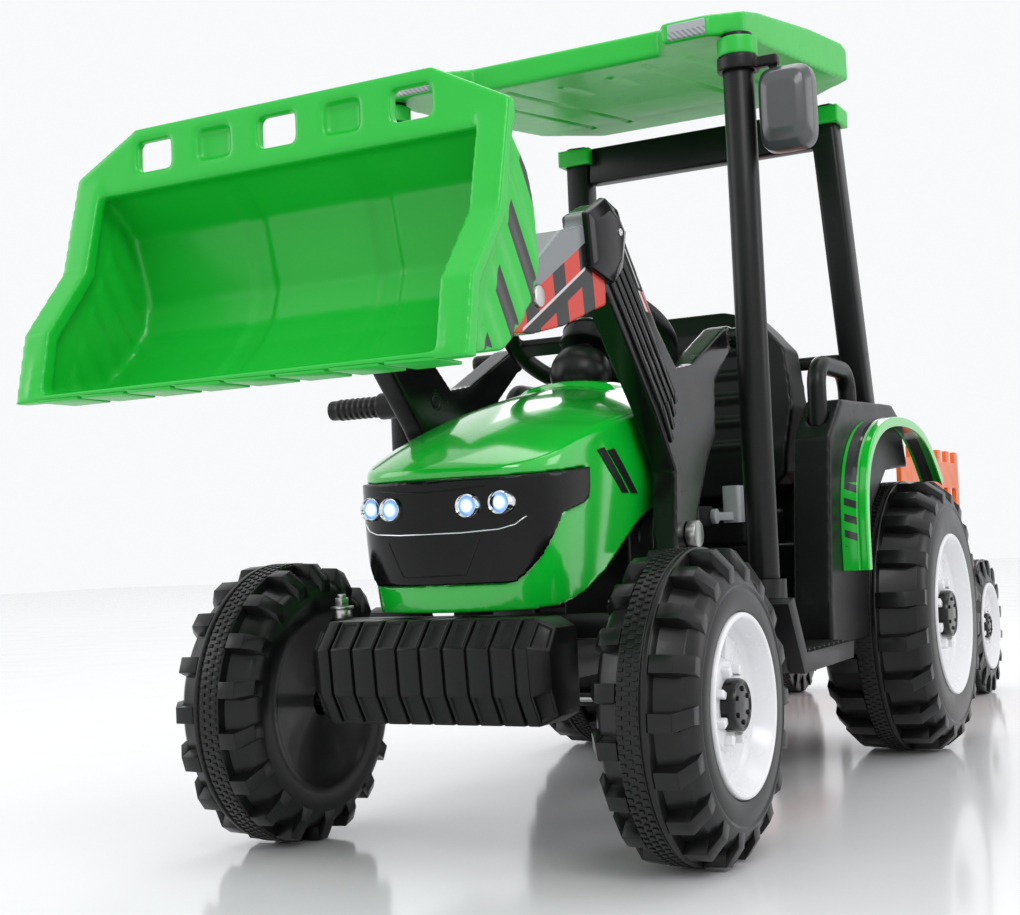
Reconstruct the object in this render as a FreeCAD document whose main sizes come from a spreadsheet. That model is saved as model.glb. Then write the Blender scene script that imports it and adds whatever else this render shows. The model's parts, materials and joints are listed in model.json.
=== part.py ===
"""Child's ride-on tractor with a front loader, a roof, and a small two-wheel trailer.

Frame: +Z up, ground at Z = 0, the tractor faces -Y, its left side is +X, and the vertical plane
X = 0 is the plane of symmetry. Millimetres. The driving sizes are cells of the sheet "Sizes".
"""
import FreeCAD, Part
import math
import os
import Sketcher

os.makedirs("parts", exist_ok=True)
doc = FreeCAD.newDocument("FrontLoader")
sheet = doc.addObject("Spreadsheet::Sheet", "Sizes")
nodes = []


# ---------------------------------------------------------------- sizes that keep their formula
def formula(value):
    return value.text if isinstance(value, Dim) else "%.9g" % value


class Dim(float):
    """A number that remembers the spreadsheet formula that it was worked out with."""

    def __new__(cls, value, text=None):
        number = float.__new__(cls, value)
        number.text = text or "%.9g" % value
        return number

    def __add__(self, other):
        return Dim(float(self) + float(other), "(%s + %s)" % (self.text, formula(other)))

    def __sub__(self, other):
        return Dim(float(self) - float(other), "(%s - %s)" % (self.text, formula(other)))

    def __mul__(self, other):
        return Dim(float(self) * float(other), "(%s * %s)" % (self.text, formula(other)))

    def __truediv__(self, other):
        return Dim(float(self) / float(other), "(%s / %s)" % (self.text, formula(other)))

    def __rsub__(self, other):
        return Dim(float(other) - float(self), "(%s - %s)" % (formula(other), self.text))

    def __neg__(self):
        return Dim(-float(self), "(0 - %s)" % self.text)

    __radd__ = __add__
    __rmul__ = __mul__


def size(alias, value):
    """Write one named size into the sheet and return it."""
    row = str(size.rows)
    size.rows += 1
    sheet.set("A" + row, alias)
    sheet.set("B" + row, "%.9g" % value)
    sheet.setAlias("B" + row, alias)
    return Dim(value, "Sizes." + alias)


size.rows = 1


def bind(item, prop, value):
    """Set a property to a value, through its formula where it has one."""
    if isinstance(value, Dim):
        item.setExpression(prop, value.text)
    elif "." not in prop:
        setattr(item, prop, value)


def place(item, x, y, z, rotation=FreeCAD.Rotation()):
    item.Placement = FreeCAD.Placement(FreeCAD.Vector(float(x), float(y), float(z)), rotation)
    for axis, value in (("x", x), ("y", y), ("z", z)):
        bind(item, "Placement.Base." + axis, value)
    return item


# ---------------------------------------------------------------- solids
def block(x, y, z):
    """A box between two limits on each axis."""
    item = doc.addObject("Part::Box", "Block")
    for prop, (low, high) in (("Length", x), ("Width", y), ("Height", z)):
        bind(item, prop, high - low)
    return place(item, x[0], y[0], z[0])


TURN = {"X": FreeCAD.Rotation(FreeCAD.Vector(0, 1, 0), 90),
        "Y": FreeCAD.Rotation(FreeCAD.Vector(1, 0, 0), -90),
        "Z": FreeCAD.Rotation()}


def rod(axis, span, centre, radius):
    """A round bar along an axis, between the two places of span."""
    item = doc.addObject("Part::Cylinder", "Rod")
    bind(item, "Radius", radius)
    bind(item, "Height", span[1] - span[0])
    spot = list(centre)
    spot.insert("XYZ".index(axis), span[0])
    return place(item, *spot, TURN[axis])


def leaning_rod(start, end, radius):
    """A round bar from one point to another."""
    start, end = [FreeCAD.Vector(*[float(value) for value in point]) for point in (start, end)]
    item = doc.addObject("Part::Cylinder", "Rod")
    bind(item, "Radius", radius)
    item.Height = (end - start).Length
    item.Placement = FreeCAD.Placement(start, FreeCAD.Rotation(FreeCAD.Vector(0, 0, 1), end - start))
    return item


def leaning_bar(start, end, half):
    """A square bar from one point to another, its faces nearly square to the tractor."""
    start, end = [FreeCAD.Vector(*[float(value) for value in point]) for point in (start, end)]
    item = doc.addObject("Part::Box", "Bar")
    bind(item, "Length", half * 2)
    bind(item, "Width", half * 2)
    item.Height = (end - start).Length
    turn = FreeCAD.Rotation(FreeCAD.Vector(0, 0, 1), end - start)
    item.Placement = FreeCAD.Placement(start - turn.multVec(FreeCAD.Vector(float(half), float(half), 0)), turn)
    return item


def sketch(body, plane, points, at=0, tilt=0):
    """A closed outline of straight edges on one of the body's own planes, or parallel to it."""
    item = body.newObject("Sketcher::SketchObject", "Outline")
    for feature in body.Origin.OriginFeatures:
        if feature.Role == plane:
            item.AttachmentSupport = [(feature, "")]
    item.MapMode = "FlatFace"
    item.AttachmentOffset = FreeCAD.Placement(FreeCAD.Vector(0, 0, float(at)),
                                              FreeCAD.Rotation(FreeCAD.Vector(1, 0, 0), tilt))
    bind(item, "AttachmentOffset.Base.z", at)
    corners = [FreeCAD.Vector(float(u), float(v), 0) for u, v in points]
    count = len(corners)
    for index, corner in enumerate(corners):
        item.addGeometry(Part.LineSegment(corner, corners[(index + 1) % count]), False)
    rules = [Sketcher.Constraint("Coincident", index, 2, (index + 1) % count, 1) for index in range(count)]
    for index, corner in enumerate(corners):
        rules.append(Sketcher.Constraint("DistanceX", -1, 1, index, 1, corner.x))
        rules.append(Sketcher.Constraint("DistanceY", -1, 1, index, 1, corner.y))
    item.addConstraint(rules)
    for index, point in enumerate(points):
        for offset, value in enumerate(point):
            bind(item, ".Constraints[%d]" % (count + 2 * index + offset), value)
    return item


def pad(body, outline, length, name="Pad"):
    item = body.newObject("PartDesign::" + name, name)
    item.Profile = outline
    bind(item, "Length", length)
    outline.Visibility = False
    return item


def prism(points, x):
    """A side outline (y, z) carried across from one X to another."""
    body = doc.addObject("PartDesign::Body", "Prism")
    pad(body, sketch(body, "YZ_Plane", points, x[0]), x[1] - x[0])
    return body


def plan(points, z):
    """A plan outline (x, y) carried up from one Z to another."""
    body = doc.addObject("PartDesign::Body", "Plan")
    pad(body, sketch(body, "XY_Plane", points, z[0]), z[1] - z[0])
    return body


def front(points, y):
    """A front outline (x, z) carried back from one Y to another."""
    body = doc.addObject("PartDesign::Body", "Front")
    pad(body, sketch(body, "XZ_Plane", points, -y[1]), y[1] - y[0])
    return body


def turned(points, y, z):
    """A section (x, radius) turned about an axis along X."""
    body = doc.addObject("PartDesign::Body", "Turned")
    outline = sketch(body, "XZ_Plane", points)
    item = body.newObject("PartDesign::Revolution", "Revolution")
    item.Profile = outline
    item.ReferenceAxis = (outline, ["H_Axis"])
    item.Angle = 360
    place(body, 0, y, z)
    return body


def joined(kind, name, items):
    item = doc.addObject(kind, name)
    if kind == "Part::Compound":
        item.Links = items
    else:
        item.Shapes = items
    return item


def fuse(*items):
    return joined("Part::MultiFuse", "Fuse", list(items))


def loose(*items):
    """Separate solids that share one sub-part."""
    return joined("Part::Compound", "Loose", list(items))


def common(*items):
    return joined("Part::MultiCommon", "Common", list(items))


def cut(base, *tools):
    item = doc.addObject("Part::Cut", "Cut")
    item.Base = base
    item.Tool = fuse(*tools) if len(tools) > 1 else tools[0]
    return item


def mirror(item):
    """The same piece on the other side of the plane X = 0."""
    other = doc.addObject("Part::Mirroring", "Mirror")
    other.Source = item
    other.Normal = FreeCAD.Vector(1, 0, 0)
    return other


def node(label, item):
    """Name a finished sub-part."""
    item.Label = label
    nodes.append(item)
    return item


def both(label, item):
    """A left sub-part and its mirror image."""
    node(label + "_left", item)
    node(label + "_right", mirror(item))


def group(label, item):
    """A left piece and its mirror image in one sub-part."""
    return node(label, loose(item, mirror(item)))


def rounded(item, radius, chosen):
    """Round the edges that the test picks."""
    doc.recompute()
    numbers = [index + 1 for index, edge in enumerate(item.Shape.Edges) if chosen(edge)]
    soft = doc.addObject("Part::Fillet", "Rounded")
    soft.Base = item
    soft.Edges = [(number, float(radius), float(radius)) for number in numbers]
    return soft


def along(axis):
    """Picks the straight edges that run along an axis."""
    direction = {"X": FreeCAD.Vector(1, 0, 0), "Y": FreeCAD.Vector(0, 1, 0), "Z": FreeCAD.Vector(0, 0, 1)}[axis]

    def test(edge):
        if not isinstance(edge.Curve, Part.Line):
            return False
        return abs(edge.Curve.Direction.dot(direction)) > 0.9999
    return test


def bent_bar(points, radius, bend):
    """A round bar along straight runs that tangent arcs join."""
    spots = [FreeCAD.Vector(*[float(value) for value in point]) for point in points]
    edges = []
    start = spots[0]
    for before, corner, after in zip(spots, spots[1:], spots[2:]):
        back = (before - corner).normalize()
        ahead = (after - corner).normalize()
        half = back.getAngle(ahead) / 2
        reach = float(bend) / math.tan(half)
        first = corner + back * reach
        last = corner + ahead * reach
        middle = (back + ahead).normalize()
        top = corner + middle * (float(bend) / math.sin(half) - float(bend))
        edges.append(Part.LineSegment(start, first).toShape())
        edges.append(Part.Arc(first, top, last).toShape())
        start = last
    edges.append(Part.LineSegment(start, spots[-1]).toShape())
    path = Part.Wire(edges)
    circle = Part.Wire([Part.makeCircle(float(radius), spots[0], (spots[1] - spots[0]).normalize())])
    item = doc.addObject("Part::Feature", "Bar")
    item.Shape = path.makePipeShell([circle], True, False)
    return item


# ---------------------------------------------------------------- main sizes
running = size("running_clearance", 0.05)
gap = size("free_gap", 0.5)
wheelbase = size("wheelbase", 829)
pivot_behind_axle = size("loader_pivot_behind_axle", 207)
pivot_height = size("loader_pivot_height", 315)
arm_reach = size("loader_arm_reach", 420)
bucket_reach = size("bucket_reach", 190)
tow_pin_behind = size("tow_pin_behind_rear_axle", 228)
trailer_axle_behind = size("trailer_axle_behind_tow_pin", 548)
front_radius = size("front_wheel_radius", 151)
rear_radius = size("rear_wheel_radius", 190)
trailer_radius = size("trailer_wheel_radius", 125)

# The length runs from the bucket's lip to the back of the trailer's wheels, half each side of Y = 0.
ahead = float(arm_reach + bucket_reach - pivot_behind_axle)
behind = float(wheelbase + tow_pin_behind + trailer_axle_behind + trailer_radius)
fa = size("front_axle_place", (ahead - behind) / 2)
ra = fa + wheelbase
pivot_y = fa + pivot_behind_axle
tip_y = pivot_y - arm_reach
tow_y = ra + tow_pin_behind
ta = tow_y + trailer_axle_behind

# ---------------------------------------------------------------- wheels
axle_radius = size("axle_radius", 6)


def tyre(side, inner, outer, radius, opening, lugs, lug, y):
    """A hollow moulded tyre: tread band, tread bars on both shoulders, and a plain inner disc."""
    width = outer - inner
    middle = inner + width * 0.48
    wall = 5
    bore = axle_radius + 8
    outline = [(inner + 8, bore), (inner + 8, radius * 0.55), (inner, radius * 0.66), (inner, radius - 34),
               (inner + 10, radius - 18), (middle - 16, radius - 12), (middle - 15, radius),
               (middle + 15, radius), (middle + 16, radius - 12), (outer - 10, radius - 18),
               (outer, radius - 34), (outer, opening), (outer - wall, opening),
               (outer - wall, radius - 38), (outer - 14, radius - 24), (inner + 14, radius - 24),
               (inner + wall, radius - 38), (inner + wall, radius * 0.68), (inner + 8 + wall, radius * 0.56),
               (inner + 8 + wall, bore)]
    if side < 0:
        outline = [(-x, r) for x, r in outline]
    body = turned(outline, y, radius)
    step = 360.0 / lugs
    for low, high, tilt in ((inner + 3, middle - 15.5, 0), (middle + 15.5, outer - 3, step / 2)):
        shape = [(low, radius - 30), (high, radius - 20), (high, radius - 1), (low, radius - 10)]
        if low > middle:
            shape = [(low, radius - 20), (high, radius - 30), (high, radius - 10), (low, radius - 1)]
        if side < 0:
            shape = [(-x, r) for x, r in shape]
        bar = pad(body, sketch(body, "XZ_Plane", shape, 0, tilt), lug)
        bar.Midplane = True
        ring = body.newObject("PartDesign::PolarPattern", "Bars")
        ring.Originals = [bar]
        for feature in body.Origin.OriginFeatures:
            if feature.Role == "X_Axis":
                ring.Axis = (feature, [""])
        ring.Angle = 360
        ring.Occurrences = lugs
        body.Tip = ring
    return body


def wheel_rim(side, inner, outer, radius, opening, dish, y):
    """A rim dished by a depth, with its hub tube, and a separate hub cap in front of it."""
    bore = axle_radius + running
    hub = axle_radius + 8
    boss = dish * 0.6
    outline = [(inner + 2, bore), (inner + 2, hub), (outer - dish - 8, hub), (outer - dish, opening * 0.6),
               (outer - 5, opening - 4), (outer - 5, opening), (outer + 2, opening), (outer + 2, opening - 4),
               (outer - dish + 8, opening * 0.66), (outer - dish + 4, 30), (outer - boss, 26),
               (outer - boss, bore)]
    cap = [(outer - boss + gap, 0), (outer - boss + gap, 24), (outer - boss * 0.4, 22), (outer - 2, 14),
           (outer - 2, 0)]
    if side < 0:
        outline = [(-x, r) for x, r in outline]
        cap = [(-x, r) for x, r in cap]
    return loose(turned(outline, y, radius), turned(cap, y, radius))


front_inner = size("front_wheel_inner_face", 187)
front_outer = size("front_wheel_outer_face", 288)
rear_inner = size("rear_wheel_inner_face", 160)
rear_outer = size("rear_wheel_outer_face", 306)
trailer_inner = size("trailer_wheel_inner_face", 160)
trailer_outer = size("trailer_wheel_outer_face", 204)
front_opening = size("front_rim_radius", 88)
rear_opening = size("rear_rim_radius", 113)
trailer_opening = size("trailer_rim_radius", 81)
deep_dish = size("tractor_rim_dish", 36)
trailer_dish = size("trailer_rim_dish", 20)
for side, word in ((1, "left"), (-1, "right")):
    node("front_tyre_" + word, tyre(side, front_inner, front_outer, front_radius, front_opening, 18, 16, fa))
    node("front_rim_" + word,
         wheel_rim(side, front_inner, front_outer, front_radius, front_opening, deep_dish, fa))
    node("rear_tyre_" + word, tyre(side, rear_inner, rear_outer, rear_radius, rear_opening, 20, 20, ra))
    node("rear_rim_" + word,
         wheel_rim(side, rear_inner, rear_outer, rear_radius, rear_opening, deep_dish, ra))
    node("trailer_tyre_" + word,
         tyre(side, trailer_inner, trailer_outer, trailer_radius, trailer_opening, 16, 12, ta))
    node("trailer_rim_" + word,
         wheel_rim(side, trailer_inner, trailer_outer, trailer_radius, trailer_opening, trailer_dish, ta))

# ---------------------------------------------------------------- chassis
frame_half = size("frame_half_width", 62)
frame_low = size("frame_bottom", 166)
frame_top = size("frame_top", 206)
frame_wall = size("frame_wall", 4)
frame_front = fa - 30
frame_back = ra + 180
channel = cut(block((-frame_half, frame_half), (frame_front, frame_back), (frame_low, frame_top)),
              block((frame_wall - frame_half, frame_half - frame_wall),
                    (frame_front + frame_wall, frame_back - frame_wall),
                    (frame_low - 1, frame_top - frame_wall)),
              rod("X", (-frame_half - 1, frame_half + 1), (ra, rear_radius), axle_radius))
node("chassis_frame", channel)

weight_half = size("weight_half_width", 136)
weight_low = size("weight_bottom", 137)
weight_top = size("weight_top", 243)
weight_front = fa - 118
weight_back = fa - 32
weights = prism([(weight_front, weight_low + 20), (weight_front, weight_top - 36),
                 (weight_front + 20, weight_top - 14), (weight_front + 45, weight_top),
                 (weight_back, weight_top), (weight_back, weight_low), (weight_front + 20, weight_low)],
                (-weight_half, weight_half))
corner = 14
shape = plan([(-weight_half, weight_front + corner), (corner - weight_half, weight_front),
              (weight_half - corner, weight_front), (weight_half, weight_front + corner),
              (weight_half, weight_back), (-weight_half, weight_back)], (weight_low - 1, weight_top + 1))
ribs = 8
pitch = (2 * (weight_half - corner)) / ribs
grooves = [block((index * pitch - weight_half + corner - 2, index * pitch - weight_half + corner + 2),
                 (weight_front - 1, weight_front + 5), (weight_low - 1, weight_top + 1))
           for index in range(1, ribs)]
hollow = block((6 - weight_half, weight_half - 6), (weight_front + 26, weight_back + 1),
               (weight_low + 6, weight_top - 20))
node("front_weights", cut(common(weights, shape), hollow, *grooves))

# ---------------------------------------------------------------- steered front axle
king_x = size("king_pin_offset", 165)
king_radius = size("king_pin_radius", 6)
beam_low = size("axle_beam_bottom", 216)
beam_top = size("axle_beam_top", 240)
sleeve = size("king_pin_sleeve_radius", 13)
beam = fuse(block((-king_x, king_x), (fa - 12, fa + 12), (beam_low, beam_top)),
            rod("Z", (beam_low, beam_top), (king_x, fa), sleeve),
            rod("Z", (beam_low, beam_top), (-king_x, fa), sleeve))
pin_bores = [rod("Z", (beam_low - 1, beam_top + 1), (side * king_x, fa), king_radius + running)
             for side in (1, -1)]
node("front_axle_beam", cut(beam, *pin_bores))

arm_back = size("steering_arm_length", 67)
arm_in = size("steering_arm_inset", 4)
rod_z = size("tie_rod_height", 150)
joint_x = king_x - arm_in
ball_radius = size("tie_rod_pin_radius", 4)
knuckle = fuse(block((king_x - 9, king_x + 9), (fa - 11, fa + 11), (front_radius - 14, beam_low - gap)),
               rod("Z", (beam_low - gap - 1, beam_top + 10), (king_x, fa), king_radius),
               rod("Z", (beam_top + gap, beam_top + 9), (king_x, fa), king_radius + 5),
               rod("X", (king_x, front_outer - 22.5), (fa, front_radius), axle_radius),
               block((joint_x - 8, king_x), (fa - 11, fa + arm_back + 8), (rod_z - 14, rod_z - 6)),
               rod("Z", (rod_z - 7, rod_z + 7), (joint_x, fa + arm_back), ball_radius))
both("knuckle", knuckle)

tie_y = fa + arm_back
link = fuse(rod("X", (-joint_x, joint_x), (tie_y, rod_z), 4.5),
            rod("Z", (rod_z - 5, rod_z + 5), (joint_x, tie_y), 10),
            rod("Z", (rod_z - 5, rod_z + 5), (-joint_x, tie_y), 12))
node("tie_rod", cut(link, rod("Z", (rod_z - 6, rod_z + 6), (joint_x, tie_y), ball_radius + running),
                    rod("Z", (rod_z - 6, rod_z + 6), (-joint_x, tie_y), ball_radius + 4)))

# ---------------------------------------------------------------- rear axle and drive
node("rear_axle", rod("X", (-rear_outer + 22.5, rear_outer - 22.5), (ra, rear_radius), axle_radius))
motor = cut(block((frame_half + 6, rear_inner - 12), (ra - 50, ra + 45),
                  (rear_radius - 48, rear_radius + 44)),
            rod("X", (frame_half, rear_inner), (ra, rear_radius), axle_radius))
group("drive_gearboxes", rounded(motor, 12, along("X")))

# ---------------------------------------------------------------- bonnet, grille, lamps
hood_half = size("hood_half_width", 118)
hood_wall = size("hood_wall", 4)


def hood_solid(inset):
    """The bonnet's outer form, or the same form drawn in on every side by inset."""
    side = prism([(fa - 67 + inset, 247 - 2 * inset), (fa - 78 + inset, 330),
                  (fa - 80 + inset, 372 - inset * 0.4), (fa - 50, 396 - inset),
                  (fa + 95, 456 - inset), (fa + 184, 488 - inset),
                  (fa + 250, 502 - inset), (fa + 320, 503 - inset), (fa + 368 - inset, 484 - inset),
                  (fa + 368 - inset, 352 - 2 * inset), (fa + 214, 345 - 2 * inset), (fa + 120, 318 - 2 * inset),
                  (fa + 78, 262 - 2 * inset), (fa + 60, 247 - 2 * inset)], (-hood_half - 1, hood_half + 1))
    half = hood_half - inset
    above = [(fa - 82 + inset, 26), (fa - 70 + inset, 62), (fa - 40, half - 20), (fa + 60, half - 6),
             (fa + 250, half), (fa + 369 - inset, half - 6)]
    top = plan([(x, y) for y, x in above] + [(-x, y) for y, x in reversed(above)], (200, 520))
    ahead = [(half - 16, 200), (half, 330), (half - 2, 410), (half - 20, 452), (60 - inset, 486 - inset),
             (34, 504 - inset)]
    nose = front(ahead + [(-x, z) for x, z in reversed(ahead)], (fa - 90, fa + 380))
    return common(side, top, nose)


window = prism([(fa - 110, 272), (fa - 52, 272), (fa - 34, 300), (fa - 12, 344), (fa + 36, 350),
                (fa + 40, 392), (fa - 48, 388), (fa - 110, 380)], (-hood_half - 10, hood_half + 10))
dome_y = fa + 282
dome_z = size("column_dome_height", 512)
dome_radius = size("column_dome_radius", 37)
shell = cut(hood_solid(0), hood_solid(hood_wall))
dash_half = size("dashboard_half_width", 100)
dash_front = dome_y + 18
dash_back = dome_y + 80
hood = cut(shell, window, rod("Z", (430, 560), (0, dome_y), dome_radius + gap),
           block((-dash_half - gap, dash_half + gap), (dash_front - gap, dash_back + gap), (325, 366)))
node("hood", hood)

lamp_radius = size("lamp_radius", 10)
lamp_rows = ((74, 353, fa - 62), (44, 351, fa - 73))
lamp_bores = []
lamps = []
for x, z, y in lamp_rows:
    for side in (1, -1):
        lamps.append(rod("Y", (y, y + 26), (side * x, z), lamp_radius))
        lamp_bores.append(rod("Y", (y - 40, y + 26), (side * x, z), lamp_radius))
grille_depth = size("grille_depth", 12)
grille = cut(common(hood_solid(0), window), hood_solid(grille_depth), *lamp_bores)
node("grille", grille)
node("headlamps", loose(*lamps))

# ---------------------------------------------------------------- dashboard and steering column
lean = size("column_lean", 33)
lean_sin = math.sin(math.radians(float(lean)))
lean_cos = math.cos(math.radians(float(lean)))
wheel_z = size("steering_wheel_height", 556)
wheel_y = dome_y + 26
column_radius = size("column_radius", 8)
hub = FreeCAD.Vector(0, float(wheel_y), float(wheel_z))
axis = FreeCAD.Vector(0, lean_sin, lean_cos)
dash = fuse(block((-dash_half, dash_half), (dash_front, dash_back), (330, 425)),
            block((-45, 45), (dash_front, dash_back), (frame_top, 331)),
            rod("Z", (440, dome_z), (0, dome_y), 28),
            block((-24, 24), (dome_y, dash_front + 10), (410, 466)),
            block((dash_half - 1, dash_half + 22), (dash_front + 30, dash_back + 23), (322, 349)))
dome = doc.addObject("Part::Sphere", "Dome")
bind(dome, "Radius", dome_radius)
place(dome, 0, dome_y, dome_z)
column = leaning_rod(hub - axis * 110, hub - axis * 4, column_radius)
column_bore = leaning_rod(hub - axis * 125, hub + axis * 20, column_radius + running)
lever_y = dash_back + 15
lever_z = size("gear_lever_height", 336)
lever_pin = size("gear_lever_pin_radius", 4)
lever_bore = rod("X", (dash_half - 2, dash_half + 30), (lever_y, lever_z), lever_pin + running)
node("dashboard", cut(fuse(dash, dome), column_bore, lever_bore))
node("steering_column", column)
grip_ring = size("steering_wheel_radius", 100)
grip_radius = size("steering_wheel_grip_radius", 11)
ring = doc.addObject("Part::Torus", "Ring")
bind(ring, "Radius1", grip_ring)
bind(ring, "Radius2", grip_radius)
spokes = fuse(block((-grip_ring, grip_ring), (-10, 14), (-6, 4)), block((-12, 12), (0, grip_ring), (-6, 4)))
steering = fuse(ring, spokes, rod("Z", (-14, 8), (0, 0), 32))
steering = cut(steering, rod("Z", (-15, -4), (0, 0), column_radius))
steering.Placement = FreeCAD.Placement(hub, FreeCAD.Rotation(FreeCAD.Vector(1, 0, 0), -float(lean)))
node("steering_wheel", steering)

lever_in = dash_half + 22 + gap
knob = rounded(block((lever_in - 8, lever_in + 16), (lever_y + 56, lever_y + 82), (lever_z - 8, lever_z + 38)),
               6, along("Z"))
node("gear_lever", fuse(rod("X", (dash_half + 4, lever_in + 2), (lever_y, lever_z), lever_pin),
                        rod("X", (lever_in, lever_in + 6.5), (lever_y, lever_z), 9),
                        block((lever_in, lever_in + 6.5), (lever_y, lever_y + 62), (lever_z - 5, lever_z + 5)),
                        knob))

# ---------------------------------------------------------------- floor, steps, pedal
floor_half = size("floor_half_width", 186)
floor_top = size("floor_top", 226)
floor_wall = size("floor_thickness", 12)
step_top = size("step_top", 180)
pedal_y = fa + 345
pedal_z = floor_top + 12
pedal_pin = size("pedal_pin_radius", 3)
ears = [block((x, x + 5), (pedal_y - 7, pedal_y + 7), (floor_top - 1, pedal_z + 7)) for x in (-109, -56)]
floor_pan = fuse(block((-floor_half, floor_half), (fa + 235, ra - 346), (floor_top - floor_wall, floor_top)),
                 *ears)
node("floor_pan", cut(floor_pan, rod("X", (-110, -50), (pedal_y, pedal_z), pedal_pin + running),
                      block((-46, 46), (fa + 290, fa + 372), (floor_top - floor_wall - 1, floor_top + 1))))
treadle = prism([(pedal_y - 2, pedal_z), (pedal_y - 64, pedal_z + 44), (pedal_y - 60, pedal_z + 50),
                 (pedal_y + 2, pedal_z + 6)], (-102, -58))
node("pedal", fuse(treadle, rod("X", (-103, -57), (pedal_y, pedal_z), 6),
                   rod("X", (-109, -51), (pedal_y, pedal_z), pedal_pin)))

post_x = size("front_post_offset", 228)
post_y = fa + 247
post_radius = size("front_post_radius", 17.5)
step_in = floor_half + 4
step_out = size("step_outer_face", 268)
step = prism([(fa + 204, 236), (fa + 250, 158), (ra - 386, 160), (ra - 380, step_top), (fa + 262, step_top),
              (fa + 226, 242)], (step_in, step_out))
bearer = block((frame_half, step_in + 4), (fa + 262, fa + 302), (frame_low + 4, step_top))
bearer_back = block((frame_half, step_in + 4), (ra - 420, ra - 385), (frame_low + 4, step_top))
socket_top = 262
step = fuse(step, bearer, bearer_back,
            rod("Z", (step_top - 20, socket_top), (post_x, post_y), post_radius + 7))
group("side_steps", cut(step, rod("Z", (step_top - 12, socket_top + 1), (post_x, post_y), post_radius)))

# ---------------------------------------------------------------- rear body, seat, housings
body_half = size("rear_body_half_width", 148)
seat_z = size("seat_pan_height", 300)
rear_wall = 4
back_y = ra + 150
body_side = [(ra - 342, frame_top), (ra - 342, seat_z), (ra - 205, seat_z), (ra - 190, seat_z + 90),
             (back_y, seat_z + 90), (back_y, frame_top)]
rear_body = cut(prism(body_side, (-body_half, body_half)),
                block((-body_half + rear_wall, body_half - rear_wall), (ra - 338, back_y - 4),
                      (frame_top + 4, seat_z - 4)),
                block((-body_half + rear_wall, body_half - rear_wall), (ra - 180, back_y - 4),
                      (frame_top + 4, seat_z + 86)),
                block((frame_half, body_half + 1), (ra - 56, ra + 52), (frame_top - 1, rear_radius + 52)),
                block((-body_half - 1, -frame_half), (ra - 56, ra + 52), (frame_top - 1, rear_radius + 52)))
node("rear_body", rear_body)
case = block((-75, 75), (ra - 165, ra - 75), (frame_top + 4 + gap, frame_top + 98))
node("battery", rounded(case, 4, along("Z")))
cushion = rounded(block((-140, 140), (ra - 345, ra - 215), (seat_z + gap, seat_z + 46)), 20, along("Z"))
node("seat_base", cushion)
seat_half = size("seat_back_half_width", 172)
seat_top = size("seat_back_top", 615)
seat_side = prism([(ra - 272, seat_z + 62), (ra - 280, seat_z + 120), (ra - 255, seat_top - 30),
                   (ra - 240, seat_top), (ra - 212, seat_top), (ra - 196, seat_top - 30),
                   (ra - 203, seat_z + 92), (ra - 214, seat_z + 62)], (-seat_half, seat_half))
seat_face = [(120, seat_z + 50), (seat_half - 12, seat_z + 90), (seat_half, seat_z + 180),
             (seat_half - 10, seat_top - 60), (seat_half - 50, seat_top - 14), (seat_half - 100, seat_top)]
seat_front = front(seat_face + [(-x, z) for x, z in reversed(seat_face)], (ra - 300, ra - 150))
seat_hollow = prism([(ra - 262, seat_z + 70), (ra - 270, seat_z + 120), (ra - 247, seat_top - 40),
                     (ra - 236, seat_top - 12), (ra - 216, seat_top - 12), (ra - 205, seat_top - 40),
                     (ra - 212, seat_z + 96), (ra - 220, seat_z + 70)], (-118, 118))
node("seat_back", cut(common(seat_side, seat_front), seat_hollow))

house_in = size("housing_inner_face", 194)
house_out = size("housing_outer_face", 242)
house_side = [(ra - 378, 172), (ra - 376, 225), (ra - 346, 429), (ra - 284, 480), (ra - 30, 488),
              (ra + 8, 472), (ra + 40, 402), (ra - 80, 394), (ra - 162, 342), (ra - 200, 252),
              (ra - 212, 172)]
rear_post_x = size("rear_post_offset", 207)
rear_post_y = ra - 74
rear_post_half = size("rear_post_half_width", 18)
rear_post_foot = size("rear_post_foot_height", 410)
rear_post_lean = size("rear_post_lean_forward", 47)
rear_post_splay = size("rear_post_lean_inward", 23)
post_top = size("front_post_top", 872)
rear_post_top = post_top + 36
handle_y0 = ra - 312
handle_y1 = ra - 174
handle_top = size("grab_handle_top", 526)
handle_radius = size("grab_handle_radius", 12)
handle_x = (house_in + house_out) / 2
handle = bent_bar([(handle_x, handle_y0, 445), (handle_x, handle_y0, handle_top),
                   (handle_x, handle_y1, handle_top), (handle_x, handle_y1, 455)], handle_radius, 30)
housing = cut(prism(house_side, (house_in, house_out)),
              prism([(ra - 368, 182), (ra - 366, 225), (ra - 338, 422), (ra - 330, 430), (ra - 330, 300),
                     (ra - 224, 300), (ra - 216, 182)], (house_in - 1, house_out - 5)),
              rod("Z", (444, 500), (handle_x, handle_y0), handle_radius),
              rod("Z", (454, 500), (handle_x, handle_y1), handle_radius))
post_low = (rear_post_x + 4, rear_post_y + 9, rear_post_foot)
post_high = (rear_post_x + 4 - rear_post_splay, rear_post_y + 9 - rear_post_lean, rear_post_top)
housing = cut(housing, leaning_bar(post_low, post_high, rear_post_half))
both("rear_housing", housing)
group("grab_handles", handle)

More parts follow.
